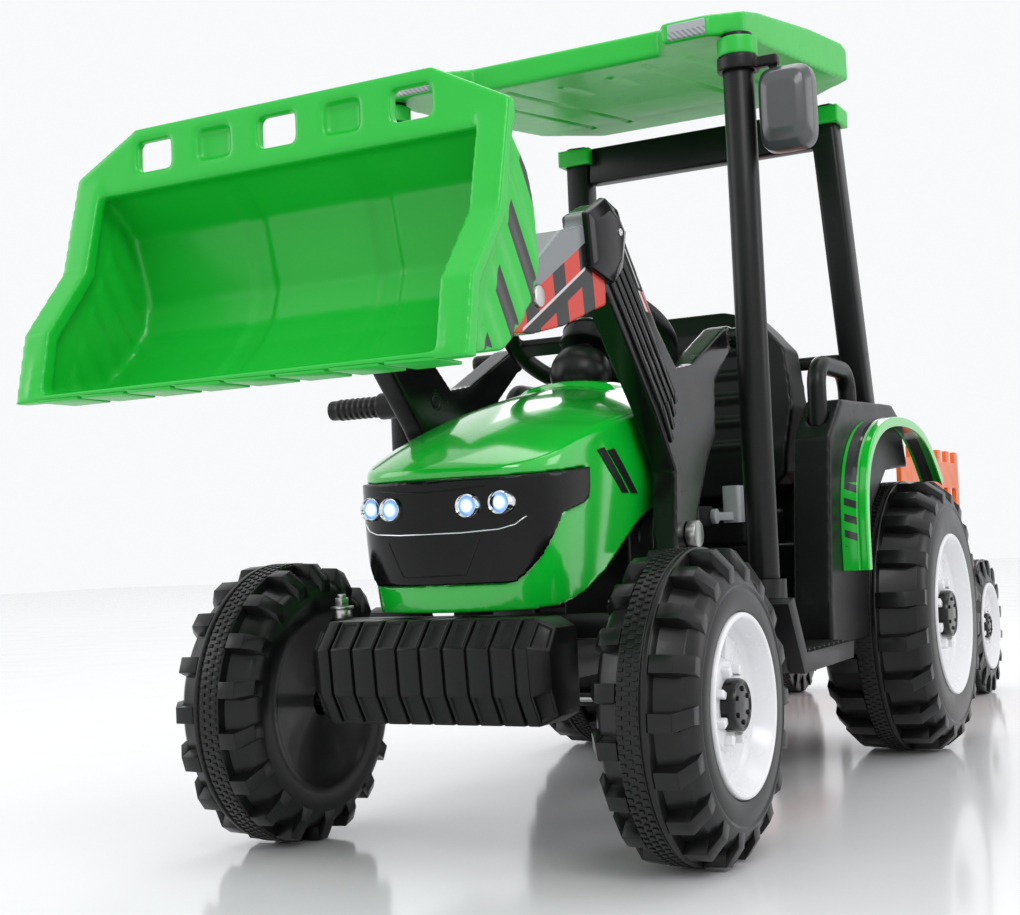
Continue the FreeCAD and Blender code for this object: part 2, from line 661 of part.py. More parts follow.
fender_in = house_out
fender_out = size("fender_outer_face", 276)
fender_wall = size("fender_thickness", 5)
fender_line = [(ra - 322, 262), (ra - 316, 365), (ra - 262, 432), (ra - 160, 464), (ra - 40, 462),
               (ra + 60, 432), (ra + 118, 384)]
inner_line = [(ra + 112, 379), (ra + 56, 426), (ra - 42, 456), (ra - 158, 458), (ra - 258, 427),
              (ra - 310, 362), (ra - 316, 262)]
fender = fuse(prism(fender_line + inner_line, (fender_in, fender_out)),
              cut(prism([(y, z) for y, z in fender_line] + [(ra + 70, 384), (ra, 410), (ra - 90, 408),
                         (ra - 178, 352), (ra - 216, 262)], (fender_in, fender_in + fender_wall)),
                  leaning_bar(post_low, post_high, rear_post_half)))
both("fender", fender)

# ---------------------------------------------------------------- posts, roof, mirrors
group("front_posts", rod("Z", (step_top - 12, post_top), (post_x, post_y), post_radius))
group("rear_posts", leaning_bar(post_low, post_high, rear_post_half))


def between_posts(z, half_depth, half_height):
    """A bar across between the rear posts at a height."""
    share = float(z - rear_post_foot) / float(rear_post_top - rear_post_foot)
    reach = post_low[0] - rear_post_splay * share - 9
    y = post_low[1] - rear_post_lean * share
    return block((-reach, reach), (y - half_depth, y + half_depth), (z - half_height, z + half_height))


def rear_post_pair():
    left = leaning_bar(post_low, post_high, rear_post_half)
    return fuse(left, mirror(left))


high_bar = between_posts(post_top + 4, 14, 27)
node("crossbars", loose(cut(high_bar, rear_post_pair()), cut(between_posts(552, 9, 9), rear_post_pair())))

roof_half = size("roof_half_width", 236)
roof_front = post_y - 30
roof_back = ra - 76
roof_wall = size("roof_wall", 4)
roof_low = post_top - 4


def roof_solid(inset):
    """The roof's outer form, or the same form drawn in on every side by inset."""
    side = prism([(roof_front + inset, roof_low + inset), (roof_front + inset, roof_low + 24 - inset),
                  (roof_front + 90, roof_low + 46 - inset), (roof_back - 240, roof_low + 84 - inset),
                  (roof_back - 100, roof_low + 104 - inset), (roof_back - 15, roof_low + 100 - inset),
                  (roof_back - inset, roof_low + 62), (roof_back - 85, roof_low + 57 + inset),
                  (roof_front + 120, roof_low + 13 + inset)], (-roof_half, roof_half))
    half = roof_half - inset
    rim = [(half - 111, roof_front + 55 + inset), (half - 86, roof_front + inset),
           (half - 31, roof_front + inset), (half, roof_front + 36), (half, roof_back - 74),
           (half - 76, roof_back + 1)]
    top = plan(rim + [(-x, y) for x, y in reversed(rim)], (roof_low - 10, roof_low + 130))
    return common(side, top)


skirt = size("roof_skirt_width", 48)
cavity = common(roof_solid(roof_wall),
                block((skirt - roof_half, roof_half - skirt), (roof_front + 70, roof_back - 64),
                      (roof_low - 9, roof_low + 129)))
roof = cut(roof_solid(0), cavity, rod("Z", (post_top - 40, post_top), (post_x, post_y), post_radius),
           rod("Z", (post_top - 40, post_top), (-post_x, post_y), post_radius),
           rear_post_pair())
node("roof", roof)
collar = cut(rod("Z", (roof_low - 22, roof_low - 1), (post_x, post_y), post_radius + 5),
             rod("Z", (roof_low - 23, roof_low), (post_x, post_y), post_radius), roof_solid(0))
rear_collar = cut(block((rear_post_x - 44, rear_post_x + 8), (rear_post_y - 62, rear_post_y - 10),
                        (post_top + 6, rear_post_top - 6)),
                  leaning_bar(post_low, post_high, rear_post_half), between_posts(post_top + 4, 14, 27),
                  roof_solid(0))
group("post_sockets", loose(collar, rear_collar))
reflector = block((roof_half - 80, roof_half - 33), (roof_front - 1, roof_front + 6),
                  (roof_low + 3, roof_low + 21))
group("roof_reflectors", cut(reflector, roof_solid(0)))

mirror_z = post_top - 14
mirror_x = size("mirror_pivot_offset", 268)
clamp = cut(fuse(rod("Z", (mirror_z - 29 + gap, mirror_z - 12), (post_x, post_y), post_radius + 6),
                 block((post_x, mirror_x + 7), (post_y - 7, post_y + 7), (mirror_z - 28, mirror_z - 16)),
                 rod("Z", (mirror_z - 40, mirror_z - 16), (mirror_x, post_y), 4)),
            rod("Z", (mirror_z - 60, mirror_z), (post_x, post_y), post_radius))
group("mirror_arms", clamp)
head = block((post_x + 22, mirror_x + 46), (post_y - 22, post_y + 16), (mirror_z - 126, mirror_z - 30))
head = rounded(rounded(head, 8, along("Z")), 4, lambda edge: edge.BoundBox.ZLength < 0.01)
both("mirror_head", cut(head, rod("Z", (mirror_z - 60, mirror_z), (mirror_x, post_y), 4 + running)))

# ---------------------------------------------------------------- loader
arm_in_face = size("arm_inner_face", 130)
arm_out_face = size("arm_outer_face", 158)
bolt_radius = size("loader_pivot_radius", 8)
cheek_in = size("loader_bracket_inner_face", 108)
cheek = prism([(pivot_y - 34, floor_top + 2), (pivot_y - 20, pivot_height + 4),
               (pivot_y - 8, pivot_height + 20), (pivot_y + 10, pivot_height + 20),
               (pivot_y + 22, pivot_height + 4), (pivot_y + 30, floor_top + 2)],
              (cheek_in, arm_in_face - 3))
foot = block((frame_half - 10, arm_in_face - 3), (pivot_y - 30, pivot_y + 26), (frame_top, frame_top + 8))
web = block((cheek_in, arm_in_face - 3), (pivot_y - 30, pivot_y + 26), (frame_top, floor_top + 3))
bolt = fuse(rod("X", (cheek_in - 8, arm_out_face + 12), (pivot_y, pivot_height), bolt_radius),
            rod("X", (arm_out_face + 1, arm_out_face + 12), (pivot_y, pivot_height), 15))
bracket_bore = rod("X", (cheek_in - 9, arm_out_face), (pivot_y, pivot_height), bolt_radius)
group("loader_brackets", cut(fuse(cheek, foot, web), bracket_bore))
group("loader_pivot_bolts", bolt)

leg = prism([(pivot_y - 40, pivot_height - 22), (pivot_y - 30, pivot_height + 70),
             (pivot_y - 78, pivot_height + 132), (pivot_y - 226, pivot_height + 282),
             (pivot_y - 232, pivot_height + 318),
             (pivot_y - 192, pivot_height + 336), (pivot_y - 150, pivot_height + 318),
             (pivot_y - 62, pivot_height + 222), (pivot_y - 12, pivot_height + 184),
             (pivot_y + 36, pivot_height + 192), (pivot_y + 150, pivot_height + 246),
             (pivot_y + 168, pivot_height + 222), (pivot_y + 107, pivot_height + 178),
             (pivot_y + 100, pivot_height + 115), (pivot_y + 70, pivot_height + 84),
             (pivot_y + 30, pivot_height + 20), (pivot_y + 18, pivot_height - 22)], (arm_in_face, arm_out_face))
tip_z = size("bucket_pivot_height", 515)
upper = prism([(pivot_y - 190, pivot_height + 332), (pivot_y - 216, pivot_height + 312),
               (pivot_y - 292, pivot_height + 292), (pivot_y - 358, pivot_height + 246),
               (tip_y - 16, tip_z + 6), (tip_y - 12, tip_z - 14), (tip_y + 6, tip_z - 18),
               (pivot_y - 357, pivot_height + 186), (pivot_y - 293, pivot_height + 200),
               (pivot_y - 193, pivot_height + 232)], (arm_in_face, arm_out_face))
lever_end = (pivot_y + 164, pivot_height + 234)
pin_radius = size("bucket_pin_radius", 6)
tube_spot = (pivot_y - 345, pivot_height + 222)
tube_radius = size("cross_tube_radius", 10)
tilt_spot = (pivot_y - 48, pivot_height + 168)
arm = fuse(leg, upper, rod("X", (arm_in_face, arm_out_face), (tip_y, tip_z), 18),
           rod("X", (arm_in_face, arm_out_face), lever_end, 15),
           rod("X", (arm_out_face - 2, 193), lever_end, 12))
arm = cut(arm, rod("X", (arm_in_face - 1, arm_out_face + 1), (pivot_y, pivot_height), bolt_radius + running),
          rod("X", (arm_in_face - 1, arm_out_face + 1), (tip_y, tip_z), pin_radius + running),
          rod("X", (arm_in_face - 1, arm_out_face + 1), tube_spot, tube_radius))
node("loader_arm_left", arm)
handle_bore = rod("X", (-arm_out_face - 1, -arm_in_face + 1), tilt_spot, bolt_radius + running)
node("loader_arm_right", cut(mirror(arm), handle_bore))
cover = prism([(pivot_y - 236, pivot_height + 252), (pivot_y - 244, pivot_height + 322),
               (pivot_y - 196, pivot_height + 342), (pivot_y - 146, pivot_height + 322),
               (pivot_y - 160, pivot_height + 262)],
              (arm_out_face, arm_out_face + 10))
group("elbow_covers", cover)
node("arm_cross_tube", rod("X", (-arm_out_face - 2, arm_out_face + 2), tube_spot, tube_radius))
node("tilt_handle", fuse(rod("X", (-arm_out_face - 8, -arm_in_face), tilt_spot, bolt_radius),
                         rod("X", (-206, -arm_out_face - 2), tilt_spot, 16),
                         rod("X", (-277, -205), tilt_spot, 12)))

# ---------------------------------------------------------------- bucket
bucket_half = size("bucket_half_width", 214)
flange_half = bucket_half + size("bucket_flange_reach", 15)
bucket_wall = size("bucket_wall", 4)
lip = tip_y - bucket_reach
inner_back = [(lip + 106, tip_z + 134), (lip + 142, tip_z + 104), (lip + 158, tip_z + 40),
              (lip + 148, tip_z + 10), (lip + 128, tip_z - 14), (lip + 92, tip_z - 44)]
outer_back = [(lip + 108, tip_z + 141), (lip + 147, tip_z + 108), (lip + 163, tip_z + 40),
              (lip + 152, tip_z + 7), (lip + 131, tip_z - 18), (lip + 93, tip_z - 49)]
rim_edge = [(lip, tip_z - 62), (lip, tip_z - 52), (lip + 14, tip_z), (lip + 63, tip_z + 61),
            (lip + 87, tip_z + 141)]
outer = prism([(lip + 95, tip_z + 145)] + outer_back + rim_edge, (-bucket_half, bucket_half))
hollow = prism([(lip + 60, tip_z + 137), (lip + 90, tip_z + 136)] + inner_back
               + [(lip + 2, tip_z - 57), (lip - 10, tip_z - 58), (lip - 10, tip_z + 137)],
               (bucket_wall - bucket_half, bucket_half - bucket_wall))
rim_line = [(lip, tip_z - 63), (lip + 13, tip_z), (lip + 62, tip_z + 61), (lip + 86, tip_z + 153),
            (lip + 98, tip_z + 153), (lip + 76, tip_z + 56), (lip + 27, tip_z - 6), (lip + 17, tip_z - 63)]
flanges = [prism(rim_line, (bucket_half - 14, flange_half)), prism(rim_line, (-flange_half, 14 - bucket_half))]
band_plate = front([(-flange_half, tip_z + 132), (flange_half, tip_z + 132), (flange_half, tip_z + 153),
                    (158, tip_z + 190), (-158, tip_z + 190), (-flange_half, tip_z + 153)], (lip + 85, lip + 98))
windows = [block((x - 20, x + 20), (lip + 80, lip + 105), (tip_z + 150, tip_z + 177)) for x in (-137, 0, 137)]
pockets = [block((x - 18, x + 18), (lip + 80, lip + 93), (tip_z + 150, tip_z + 177)) for x in (-68, 68)]
node("bucket_shell", cut(fuse(cut(outer, hollow), *flanges, band_plate), *windows, *pockets))

ear = prism([(lip + 140, tip_z + 70), (tip_y + 8, tip_z + 22), (tip_y + 18, tip_z), (tip_y + 4, tip_z - 18),
             (lip + 140, tip_z - 10)], (arm_in_face - 26, arm_in_face - 2))
tub = prism([(lip + 95, tip_z + 145)] + outer_back + rim_edge, (-bucket_half, bucket_half))
bucket_pin = rod("X", (arm_in_face - 24, arm_out_face + 6), (tip_y, tip_z), pin_radius)
group("bucket_brackets", fuse(cut(ear, tub), bucket_pin))

# ---------------------------------------------------------------- trailer
hitch_z = size("hitch_height", 176)
tow_pin = size("tow_pin_radius", 6)
hitch = fuse(block((-22, 22), (frame_back - 20, frame_back + 12), (hitch_z - 24, hitch_z + 24)),
             block((-20, 20), (frame_back, tow_y + 20), (hitch_z - 24, hitch_z - 14)),
             block((-20, 20), (frame_back, tow_y + 20), (hitch_z + 14, hitch_z + 24)),
             rod("Z", (hitch_z - 30, hitch_z + 32), (0, tow_y), tow_pin),
             rod("Z", (hitch_z + 24, hitch_z + 32), (0, tow_y), 11))
hitch = cut(hitch, channel)
node("tow_hitch", hitch)

bed_half = size("trailer_half_width", 150)
bed_low = size("trailer_bed_bottom", 200)
bed_top = size("trailer_bed_top", 318)
bed_wall = size("trailer_bed_wall", 5)
bed_front = tow_y + 140
bed_back = ta + 52
bed = cut(block((-bed_half, bed_half), (bed_front, bed_back), (bed_low, bed_top)),
          block((bed_wall - bed_half, bed_half - bed_wall), (bed_front + bed_wall, bed_back - bed_wall),
                (bed_low + bed_wall, bed_top + 1)))
fence_top = size("fence_post_top", 455)
fences = []
for side in (1, -1):
    x = (bed_half - 8.5, bed_half) if side > 0 else (-bed_half, 8.5 - bed_half)
    pieces = [block(x, (bed_front + 8, bed_back - 8), (z, z + high)) for z, high in ((332, 26), (386, 48))]
    count = 7
    pitch = (bed_back - bed_front - 46) / (count - 1)
    pieces += [block(x, (bed_front + 10 + index * pitch, bed_front + 36 + index * pitch), (bed_top, fence_top))
               for index in range(count)]
    fences.append(fuse(*pieces))
node("trailer_bed", loose(bed, *fences))
drop = [block((x, x + 10), (ta - 18, ta + 18), (trailer_radius - 14, bed_low)) for x in (80, -90)]
eye = cut(fuse(block((-15, 15), (tow_y, bed_back - 30), (hitch_z - 9, bed_low)),
               rod("Z", (hitch_z - 9, hitch_z + 9), (0, tow_y), 17), *drop),
          rod("Z", (hitch_z - 12, bed_low + 1), (0, tow_y), tow_pin + running),
          block((-40, 40), (tow_y - 30, tow_y + 40), (hitch_z + 9, bed_low + 1)))
frame_bars = fuse(eye, block((-90, 90), (ta - 18, ta + 18), (bed_low - 10, bed_low)),
                  rod("X", (-trailer_outer + 22.5, trailer_outer - 22.5), (ta, trailer_radius), axle_radius))
node("trailer_frame", frame_bars)

# ---------------------------------------------------------------- checks and files
doc.recompute()
for item in doc.Objects:
    if "Invalid" in item.State or "Error" in item.State:
        raise RuntimeError("not built: %s %s %s" % (item.Name, item.Label, item.State))
for item in nodes:
    if item.Shape.isNull() or not item.Shape.isValid() or not item.Shape.Solids:
        raise RuntimeError("not a valid solid: " + item.Label)
    item.Shape.exportStep(os.path.join("parts", item.Label + ".step"))
print(len(nodes), "sub-parts")
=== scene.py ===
"""Child's ride-on tractor with a front loader, a roof and a fenced trailer, in moulded plastic."""
import json
import math

import bmesh
import bpy
from mathutils import Matrix, Vector

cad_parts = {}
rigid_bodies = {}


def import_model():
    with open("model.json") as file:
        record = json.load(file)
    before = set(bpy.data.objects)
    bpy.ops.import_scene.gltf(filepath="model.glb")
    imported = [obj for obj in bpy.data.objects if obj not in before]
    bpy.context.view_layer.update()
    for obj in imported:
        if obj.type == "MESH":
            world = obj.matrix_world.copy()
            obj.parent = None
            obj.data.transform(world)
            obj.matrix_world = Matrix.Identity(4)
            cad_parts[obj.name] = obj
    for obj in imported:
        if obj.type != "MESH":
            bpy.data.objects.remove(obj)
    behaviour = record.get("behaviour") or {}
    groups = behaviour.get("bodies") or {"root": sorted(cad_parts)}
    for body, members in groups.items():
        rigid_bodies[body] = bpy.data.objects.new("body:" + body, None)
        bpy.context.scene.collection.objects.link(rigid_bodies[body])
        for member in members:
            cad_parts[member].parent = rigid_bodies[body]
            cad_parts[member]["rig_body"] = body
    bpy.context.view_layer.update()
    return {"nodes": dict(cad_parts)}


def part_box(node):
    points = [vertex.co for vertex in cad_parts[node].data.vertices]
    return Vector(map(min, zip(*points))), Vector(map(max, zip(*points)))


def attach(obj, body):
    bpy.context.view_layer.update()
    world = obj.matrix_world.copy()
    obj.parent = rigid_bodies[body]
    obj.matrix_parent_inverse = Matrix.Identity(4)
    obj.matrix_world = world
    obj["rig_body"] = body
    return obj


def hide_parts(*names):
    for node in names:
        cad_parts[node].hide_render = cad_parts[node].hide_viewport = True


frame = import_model()

# ---- Camera and studio
# The camera stands low at the front left corner, as a person crouching to look up at the toy.
# A pale floor runs under it, and wide soft lamps hang in front, at both sides and overhead.
MM = 0.001
tyre_low, tyre_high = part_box("front_tyre_left")
axle_y = (tyre_low.y + tyre_high.y) / 2


def at(x, y, z):
    """A place in millimetres, y counted back from the front axle, as a point of the frame."""
    return Vector((x * MM, axle_y + y * MM, z * MM))


def placed(name, data):
    """A new object in the scene that holds the given data."""
    item = bpy.data.objects.new(name, data)
    bpy.context.scene.collection.objects.link(item)
    return item


azimuth, elevation, roll = math.radians(28.23), math.radians(-2.89), math.radians(-2.43)
backward = Vector((math.sin(azimuth) * math.cos(elevation), -math.cos(azimuth) * math.cos(elevation),
                   math.sin(elevation)))
level = (-backward).cross(Vector((0, 0, 1))).normalized()
upward = level.cross(-backward)
right = level * math.cos(roll) + upward * math.sin(roll)
upward = upward * math.cos(roll) - level * math.sin(roll)
camera_data = bpy.data.cameras.new("camera")
camera = placed("camera", camera_data)
stand = at(790, -1402, 308)
camera.matrix_world = Matrix(((right.x, upward.x, backward.x, stand.x), (right.y, upward.y, backward.y, stand.y),
                              (right.z, upward.z, backward.z, stand.z), (0, 0, 0, 1)))
camera_data.lens = 54.85
camera_data.sensor_width = 36
camera_data.shift_x = 0.0088
camera_data.shift_y = 0.0123
camera_data.clip_end = 60
bpy.context.scene.camera = camera


class Field:
    """A value or colour that varies over a surface; arithmetic on it adds the Math nodes."""

    def __init__(self, finish, socket):
        self.finish = finish
        self.socket = socket

    def maths(self, operation, first, second, clamp=False):
        settings = {"operation": operation, "use_clamp": clamp}
        return self.finish.node("Math", settings, {0: first, 1: second})

    def __add__(self, other):
        return self.maths("ADD", self, other)

    def __sub__(self, other):
        return self.maths("SUBTRACT", self, other)

    def __rsub__(self, other):
        return self.maths("SUBTRACT", other, self)

    def __mul__(self, other):
        return self.maths("MULTIPLY", self, other)

    def __gt__(self, other):
        return self.maths("GREATER_THAN", self, other)

    def __lt__(self, other):
        return self.maths("LESS_THAN", self, other)

    def __abs__(self):
        return self.maths("ABSOLUTE", self, 0)

    def fraction(self):
        """What is left of a field over whole numbers, which repeats from 0 to 1."""
        return self.maths("FRACT", self, 0)

    __radd__ = __add__
    __rmul__ = __mul__


class Finish:
    """One material: node() adds any node, with its settings first and then its sockets."""

    def __init__(self, name, **constants):
        self.material = bpy.data.materials.new(name)
        self.material.use_nodes = True
        self.tree = self.material.node_tree
        self.shader = self.tree.nodes["Principled BSDF"]
        for socket, value in constants.items():
            self.shader.inputs[socket.replace("_", " ")].default_value = value
        self.place = self.node("TexCoord", {}, {}, "Object")

    def node(self, kind, settings=None, sockets=None, out=0):
        item = self.tree.nodes.new("ShaderNode" + kind)
        for name, value in (settings or {}).items():
            if name == "stops":
                for stop, (position, color) in zip(item.color_ramp.elements, value):
                    stop.position = position
                    stop.color = color
            else:
                setattr(item, name, value)
        for name, value in (sockets or {}).items():
            if isinstance(value, Field):
                self.tree.links.new(value.socket, item.inputs[name])
            else:
                item.inputs[name].default_value = value
        return Field(self, item.outputs[out])

    def noise(self, scale, detail=3, roughness=0.5):
        sockets = {"Vector": self.place, "Scale": scale, "Detail": detail, "Roughness": roughness}
        return self.node("TexNoise", {}, sockets)

    def axes(self):
        """The x, y and z of the piece's own place, each as a field."""
        item = self.node("SeparateXYZ", {}, {0: self.place})
        outputs = item.socket.node.outputs
        return [Field(self, outputs[index]) for index in range(3)]

    def band(self, value, low, high, soft=0.0004):
        """1 between two limits of a field and 0 outside, with a soft edge."""
        rise = self.node("MapRange", {"clamp": True}, {0: value, 1: low - soft, 2: low + soft})
        fall = self.node("MapRange", {"clamp": True}, {0: value, 1: high - soft, 2: high + soft})
        return rise * (1 - fall)

    def mix(self, amount, under, over):
        """Two colours blended by a field."""
        return self.node("Mix", {"data_type": "RGBA"}, {0: amount, 6: under, 7: over}, 2)

    def feed(self, socket, value):
        self.tree.links.new(value.socket, self.shader.inputs[socket])

    def bump(self, value, strength, distance):
        self.feed("Normal", self.node("Bump", {}, {"Height": value, "Strength": strength, "Distance": distance}))


def moulded_finish(name, color, gloss, grain, coat=0.0, tone=0.12, fleck=0.0, shine=0.5):
    """Moulded plastic: slight cloudiness in the colour, rubbed patches, and a fine mould grain."""
    finish = Finish(name, Coat_Weight=coat, Coat_Roughness=0.08, IOR=1.5, Specular_IOR_Level=shine)
    cloud = finish.noise(9, 4)
    darker = tuple(part * (1 - tone) for part in color[:3]) + (1,)
    paler = tuple(min(1, part * (1 + tone) + 0.001) for part in color[:3]) + (1,)
    base = finish.mix(cloud, darker, paler)
    dust = finish.noise(55, 6, 0.7)
    settled = finish.node("MapRange", {"clamp": True}, {0: dust, 1: 0.56, 2: 0.72})
    grey = tuple(part * 0.85 + 0.03 for part in color[:3]) + (1,)
    finish.color = finish.mix(settled * (0.10 + fleck), base, grey)
    finish.feed("Base Color", finish.color)
    finish.feed("Roughness", finish.noise(30, 5) * 0.12 + settled * 0.1 + (gloss - 0.06))
    fine = finish.noise(1400, 2) * 0.6 + finish.noise(420, 2) * 0.4
    finish.bump(fine, grain, 0.0004)
    return finish


floor_mesh = bpy.data.meshes.new("floor")
floor_reach = 14
floor_corners = [(x * floor_reach, y * floor_reach, 0) for x, y in ((-1, -1), (1, -1), (1, 1), (-1, 1))]
floor_mesh.from_pydata(floor_corners, [], [(0, 1, 2, 3)])
floor = placed("floor", floor_mesh)
floor_finish = Finish("studio_floor", IOR=1.5)
floor_tone = floor_finish.mix(floor_finish.noise(3, 3), (0.80, 0.80, 0.81, 1), (0.84, 0.84, 0.85, 1))
floor_finish.feed("Base Color", floor_tone)
floor_finish.feed("Roughness", floor_finish.noise(6, 3) * 0.05 + 0.09)
floor_mesh.materials.append(floor_finish.material)

world = bpy.data.worlds.new("studio")
bpy.context.scene.world = world
world.use_nodes = True
world.node_tree.nodes["Background"].inputs["Color"].default_value = (0.97, 0.98, 1.0, 1)
world.node_tree.nodes["Background"].inputs["Strength"].default_value = 0.97
bpy.context.scene.view_settings.view_transform = "Standard"


def lamp(name, place, target, width, height, power):
    """A soft rectangular studio lamp that looks at a point."""
    data = bpy.data.lights.new(name, "AREA")
    data.shape = "RECTANGLE"
    data.size = width
    data.size_y = height
    data.energy = power
    item = placed(name, data)
    item.location = place
    item.rotation_euler = (Vector(target) - Vector(place)).to_track_quat("-Z", "Y").to_euler()


lamp("key", (1.9, -2.6, 2.6), (0, -0.4, 0.4), 1.6, 1.2, 34)
lamp("fill", (-2.8, -1.8, 1.6), (0, -0.2, 0.4), 1.8, 1.6, 16)
lamp("top", (0.2, 0.4, 3.2), (0, 0, 0.5), 2.4, 2.4, 26)
lamp("side", (3.2, 0.9, 1.4), (0, 0.2, 0.3), 1.2, 1.6, 15)
lamp("rear", (-1.2, 3.2, 2.2), (0, 0.4, 0.4), 1.8, 1.4, 18)

# ---- Tyres
# Six hollow blow-moulded tyres in black plastic, each with staggered tread bars on both shoulders,
# a centre band of short dashes beside a smooth ridge, and a smooth ring round the rim opening.
tyre_black = moulded_finish("tyre_black", (0.005, 0.005, 0.0055, 1), 0.33, 0.05, coat=0.08, tone=0.25, fleck=0.05,
                           shine=0.3)


def object_of(name, verts, faces, finish, body):
    """A mesh in millimetres, measured from the front axle, as a piece that rides on a body."""
    mesh = bpy.data.meshes.new(name)
    mesh.from_pydata([at(*vert) for vert in verts], [], faces)
    item = placed(name, mesh)
    mesh.materials.append(finish.material)
    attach(item, body)
    return item


def settle(item, *modifiers):
    """Puts modifiers on a piece, one after another, and keeps the mesh that they make."""
    for kind, settings in modifiers:
        modifier = item.modifiers.new(kind.lower(), kind)
        for name, value in settings.items():
            setattr(modifier, name, value)
    graph = bpy.context.evaluated_depsgraph_get()
    mesh = bpy.data.meshes.new_from_object(item.evaluated_get(graph))
    old = item.data
    materials = list(old.materials)
    item.modifiers.clear()
    item.data = mesh
    bpy.data.meshes.remove(old)
    mesh.materials.clear()
    for material in materials:
        mesh.materials.append(material)
    return item


def smooth(item, angle=38):
    """Shades a piece smooth, but for edges sharper than the angle in degrees."""
    item.data.polygons.foreach_set("use_smooth", [True] * len(item.data.polygons))
    item.data.set_sharp_from_angle(angle=math.radians(angle))
    return item


def bevel(width, segments=2, limit=28):
    return "BEVEL", {"width": width * MM, "segments": segments, "limit_method": "ANGLE",
                     "angle_limit": math.radians(limit), "use_clamp_overlap": True}


def completed(item, edge, angle=40):
    """Eases a piece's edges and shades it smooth."""
    settle(item, edge)
    smooth(item, angle)
    return item


def turned(profile, centre, steps, verts, faces, side=1):
    """Adds a ring turned from (x, radius) points about an axis along X to lists of verts and faces."""
    first = len(verts)
    count = len(profile)
    for step in range(steps):
        angle = 2 * math.pi * step / steps
        for x, radius in profile:
            verts.append((side * x, centre[0] + radius * math.sin(angle), centre[1] + radius * math.cos(angle)))
    for step in range(steps):
        here = first + step * count
        there = first + (step + 1) % steps * count
        for index in range(count):
            after = (index + 1) % count
            face = (here + index, there + index, there + after, here + after)
            faces.append(face if side < 0 else face[::-1])


def hexa(corners, verts, faces):
    """Adds a six-sided block from its eight corners: four below, then four above."""
    first = len(verts)
    verts.extend(corners)
    for face in ((3, 2, 1, 0), (4, 5, 6, 7), (0, 1, 5, 4), (1, 2, 6, 5), (2, 3, 7, 6), (3, 0, 4, 7)):
        faces.append(tuple(first + index for index in face))


def word_of(side):
    return "left" if side > 0 else "right"


def box_of(node):
    """A CAD node's box in millimetres, y counted back from the front axle."""
    low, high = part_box(node)
    return [((a - b) / MM, (c - b) / MM) for a, b, c in zip(low, (0, axle_y, 0), high)]


def tyre(name, word, side, lugs, lug):
    (x0, x1), (y0, y1), (z0, z1) = box_of(name)
    inner, outer = sorted((abs(x0), abs(x1)))
    radius = (z1 - z0) / 2 - 0.1
    centre = ((y0 + y1) / 2, radius)
    opening = radius * (0.58 if radius > 140 else 0.65)
    middle = inner + (outer - inner) * 0.48
    verts, faces = [], []
    wall = min(1, (outer - inner) / 90)
    ring = [(inner + 9, 15), (inner + 9, radius * 0.52), (inner + 2, radius * 0.60), (inner, radius * 0.66),
            (inner, radius - 36), (inner + 4, radius - 26), (inner + 12 * wall, radius - 18),
            (middle - 16, radius - 13), (middle - 15.5, radius - 3), (middle - 14, radius - 1.4),
            (middle + 7, radius - 1.4), (middle + 8, radius - 3), (middle + 9, radius - 3), (middle + 10, radius),
            (middle + 14, radius), (middle + 15.5, radius - 3), (middle + 16, radius - 13),
            (outer - 12 * wall, radius - 18), (outer - 4, radius - 26), (outer - 1, radius - 34),
            (outer, radius - 37), (outer - 1.5, radius - 40), (outer, radius - 43),
            (outer - 1.2, opening + 2), (outer - 4, opening), (outer - 14, opening),
            (outer - 14, radius - 42), (inner + 16, radius - 42), (inner + 16, 15)]
    if radius - 43 <= opening + 3:
        ring[21:24] = [(outer - 1, opening + 3)]
    turned(ring, centre, 144, verts, faces, side)

    def spot(x, r, turn):
        return (side * x, centre[0] + r * math.sin(turn), centre[1] + r * math.cos(turn))

    pitch = 2 * math.pi / lugs
    half = lug / radius / 2
    for row, (near, far) in enumerate(((middle - 15.6, inner + 1), (middle + 15.6, outer - 1))):
        reach = far - near
        for index in range(lugs):
            turn = (index + 0.5 * row) * pitch
            knee = near + reach * 0.62
            for (xa, ra, ta), (xb, rb, tb) in (((near, radius - 0.6, 0.0), (knee, radius - 1.5, 0.0)),
                                              ((knee, radius - 1.5, 0.0), (far, radius - 20, 0.32))):
                corners = []
                for drop, flare in ((-24, 1.35), (0, 1.0)):
                    for x, r, shift, way in ((xa, ra, ta, -1), (xb, rb, tb, -1), (xb, rb, tb, 1), (xa, ra, ta, 1)):
                        low = max(r + drop, radius - 34) if drop else r
                        corners.append(spot(x, low, turn + shift * half * 2 + way * half * flare))
                hexa(corners, verts, faces)
    dashes = round(2 * math.pi * radius / 8.6)
    for row, (x, offset) in enumerate(((middle - 11.5, 0), (middle - 4, 0.5), (middle + 3.5, 0))):
        for index in range(dashes):
            turn = (index + offset) * 2 * math.pi / dashes
            thick = 1.9 / radius
            hexa([spot(x + a, r, turn + b * thick) for r in (radius - 2, radius - 0.1)
                  for a, b in ((-2.7, -1), (2.7, -1), (2.7, 1), (-2.7, 1))], verts, faces)
    item = object_of(name + "_tread", verts, faces, tyre_black, word)
    completed(item, bevel(0.9, 2, 32), 34)
    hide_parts(name)


for word, side in (("left", 1), ("right", -1)):
    tyre("front_tyre_" + word, "front_wheel_" + word, side, 18, 17)
    tyre("rear_tyre_" + word, "rear_wheel_" + word, side, 20, 20)
    tyre("trailer_tyre_" + word, "trailer_wheel_" + word, side, 16, 14)

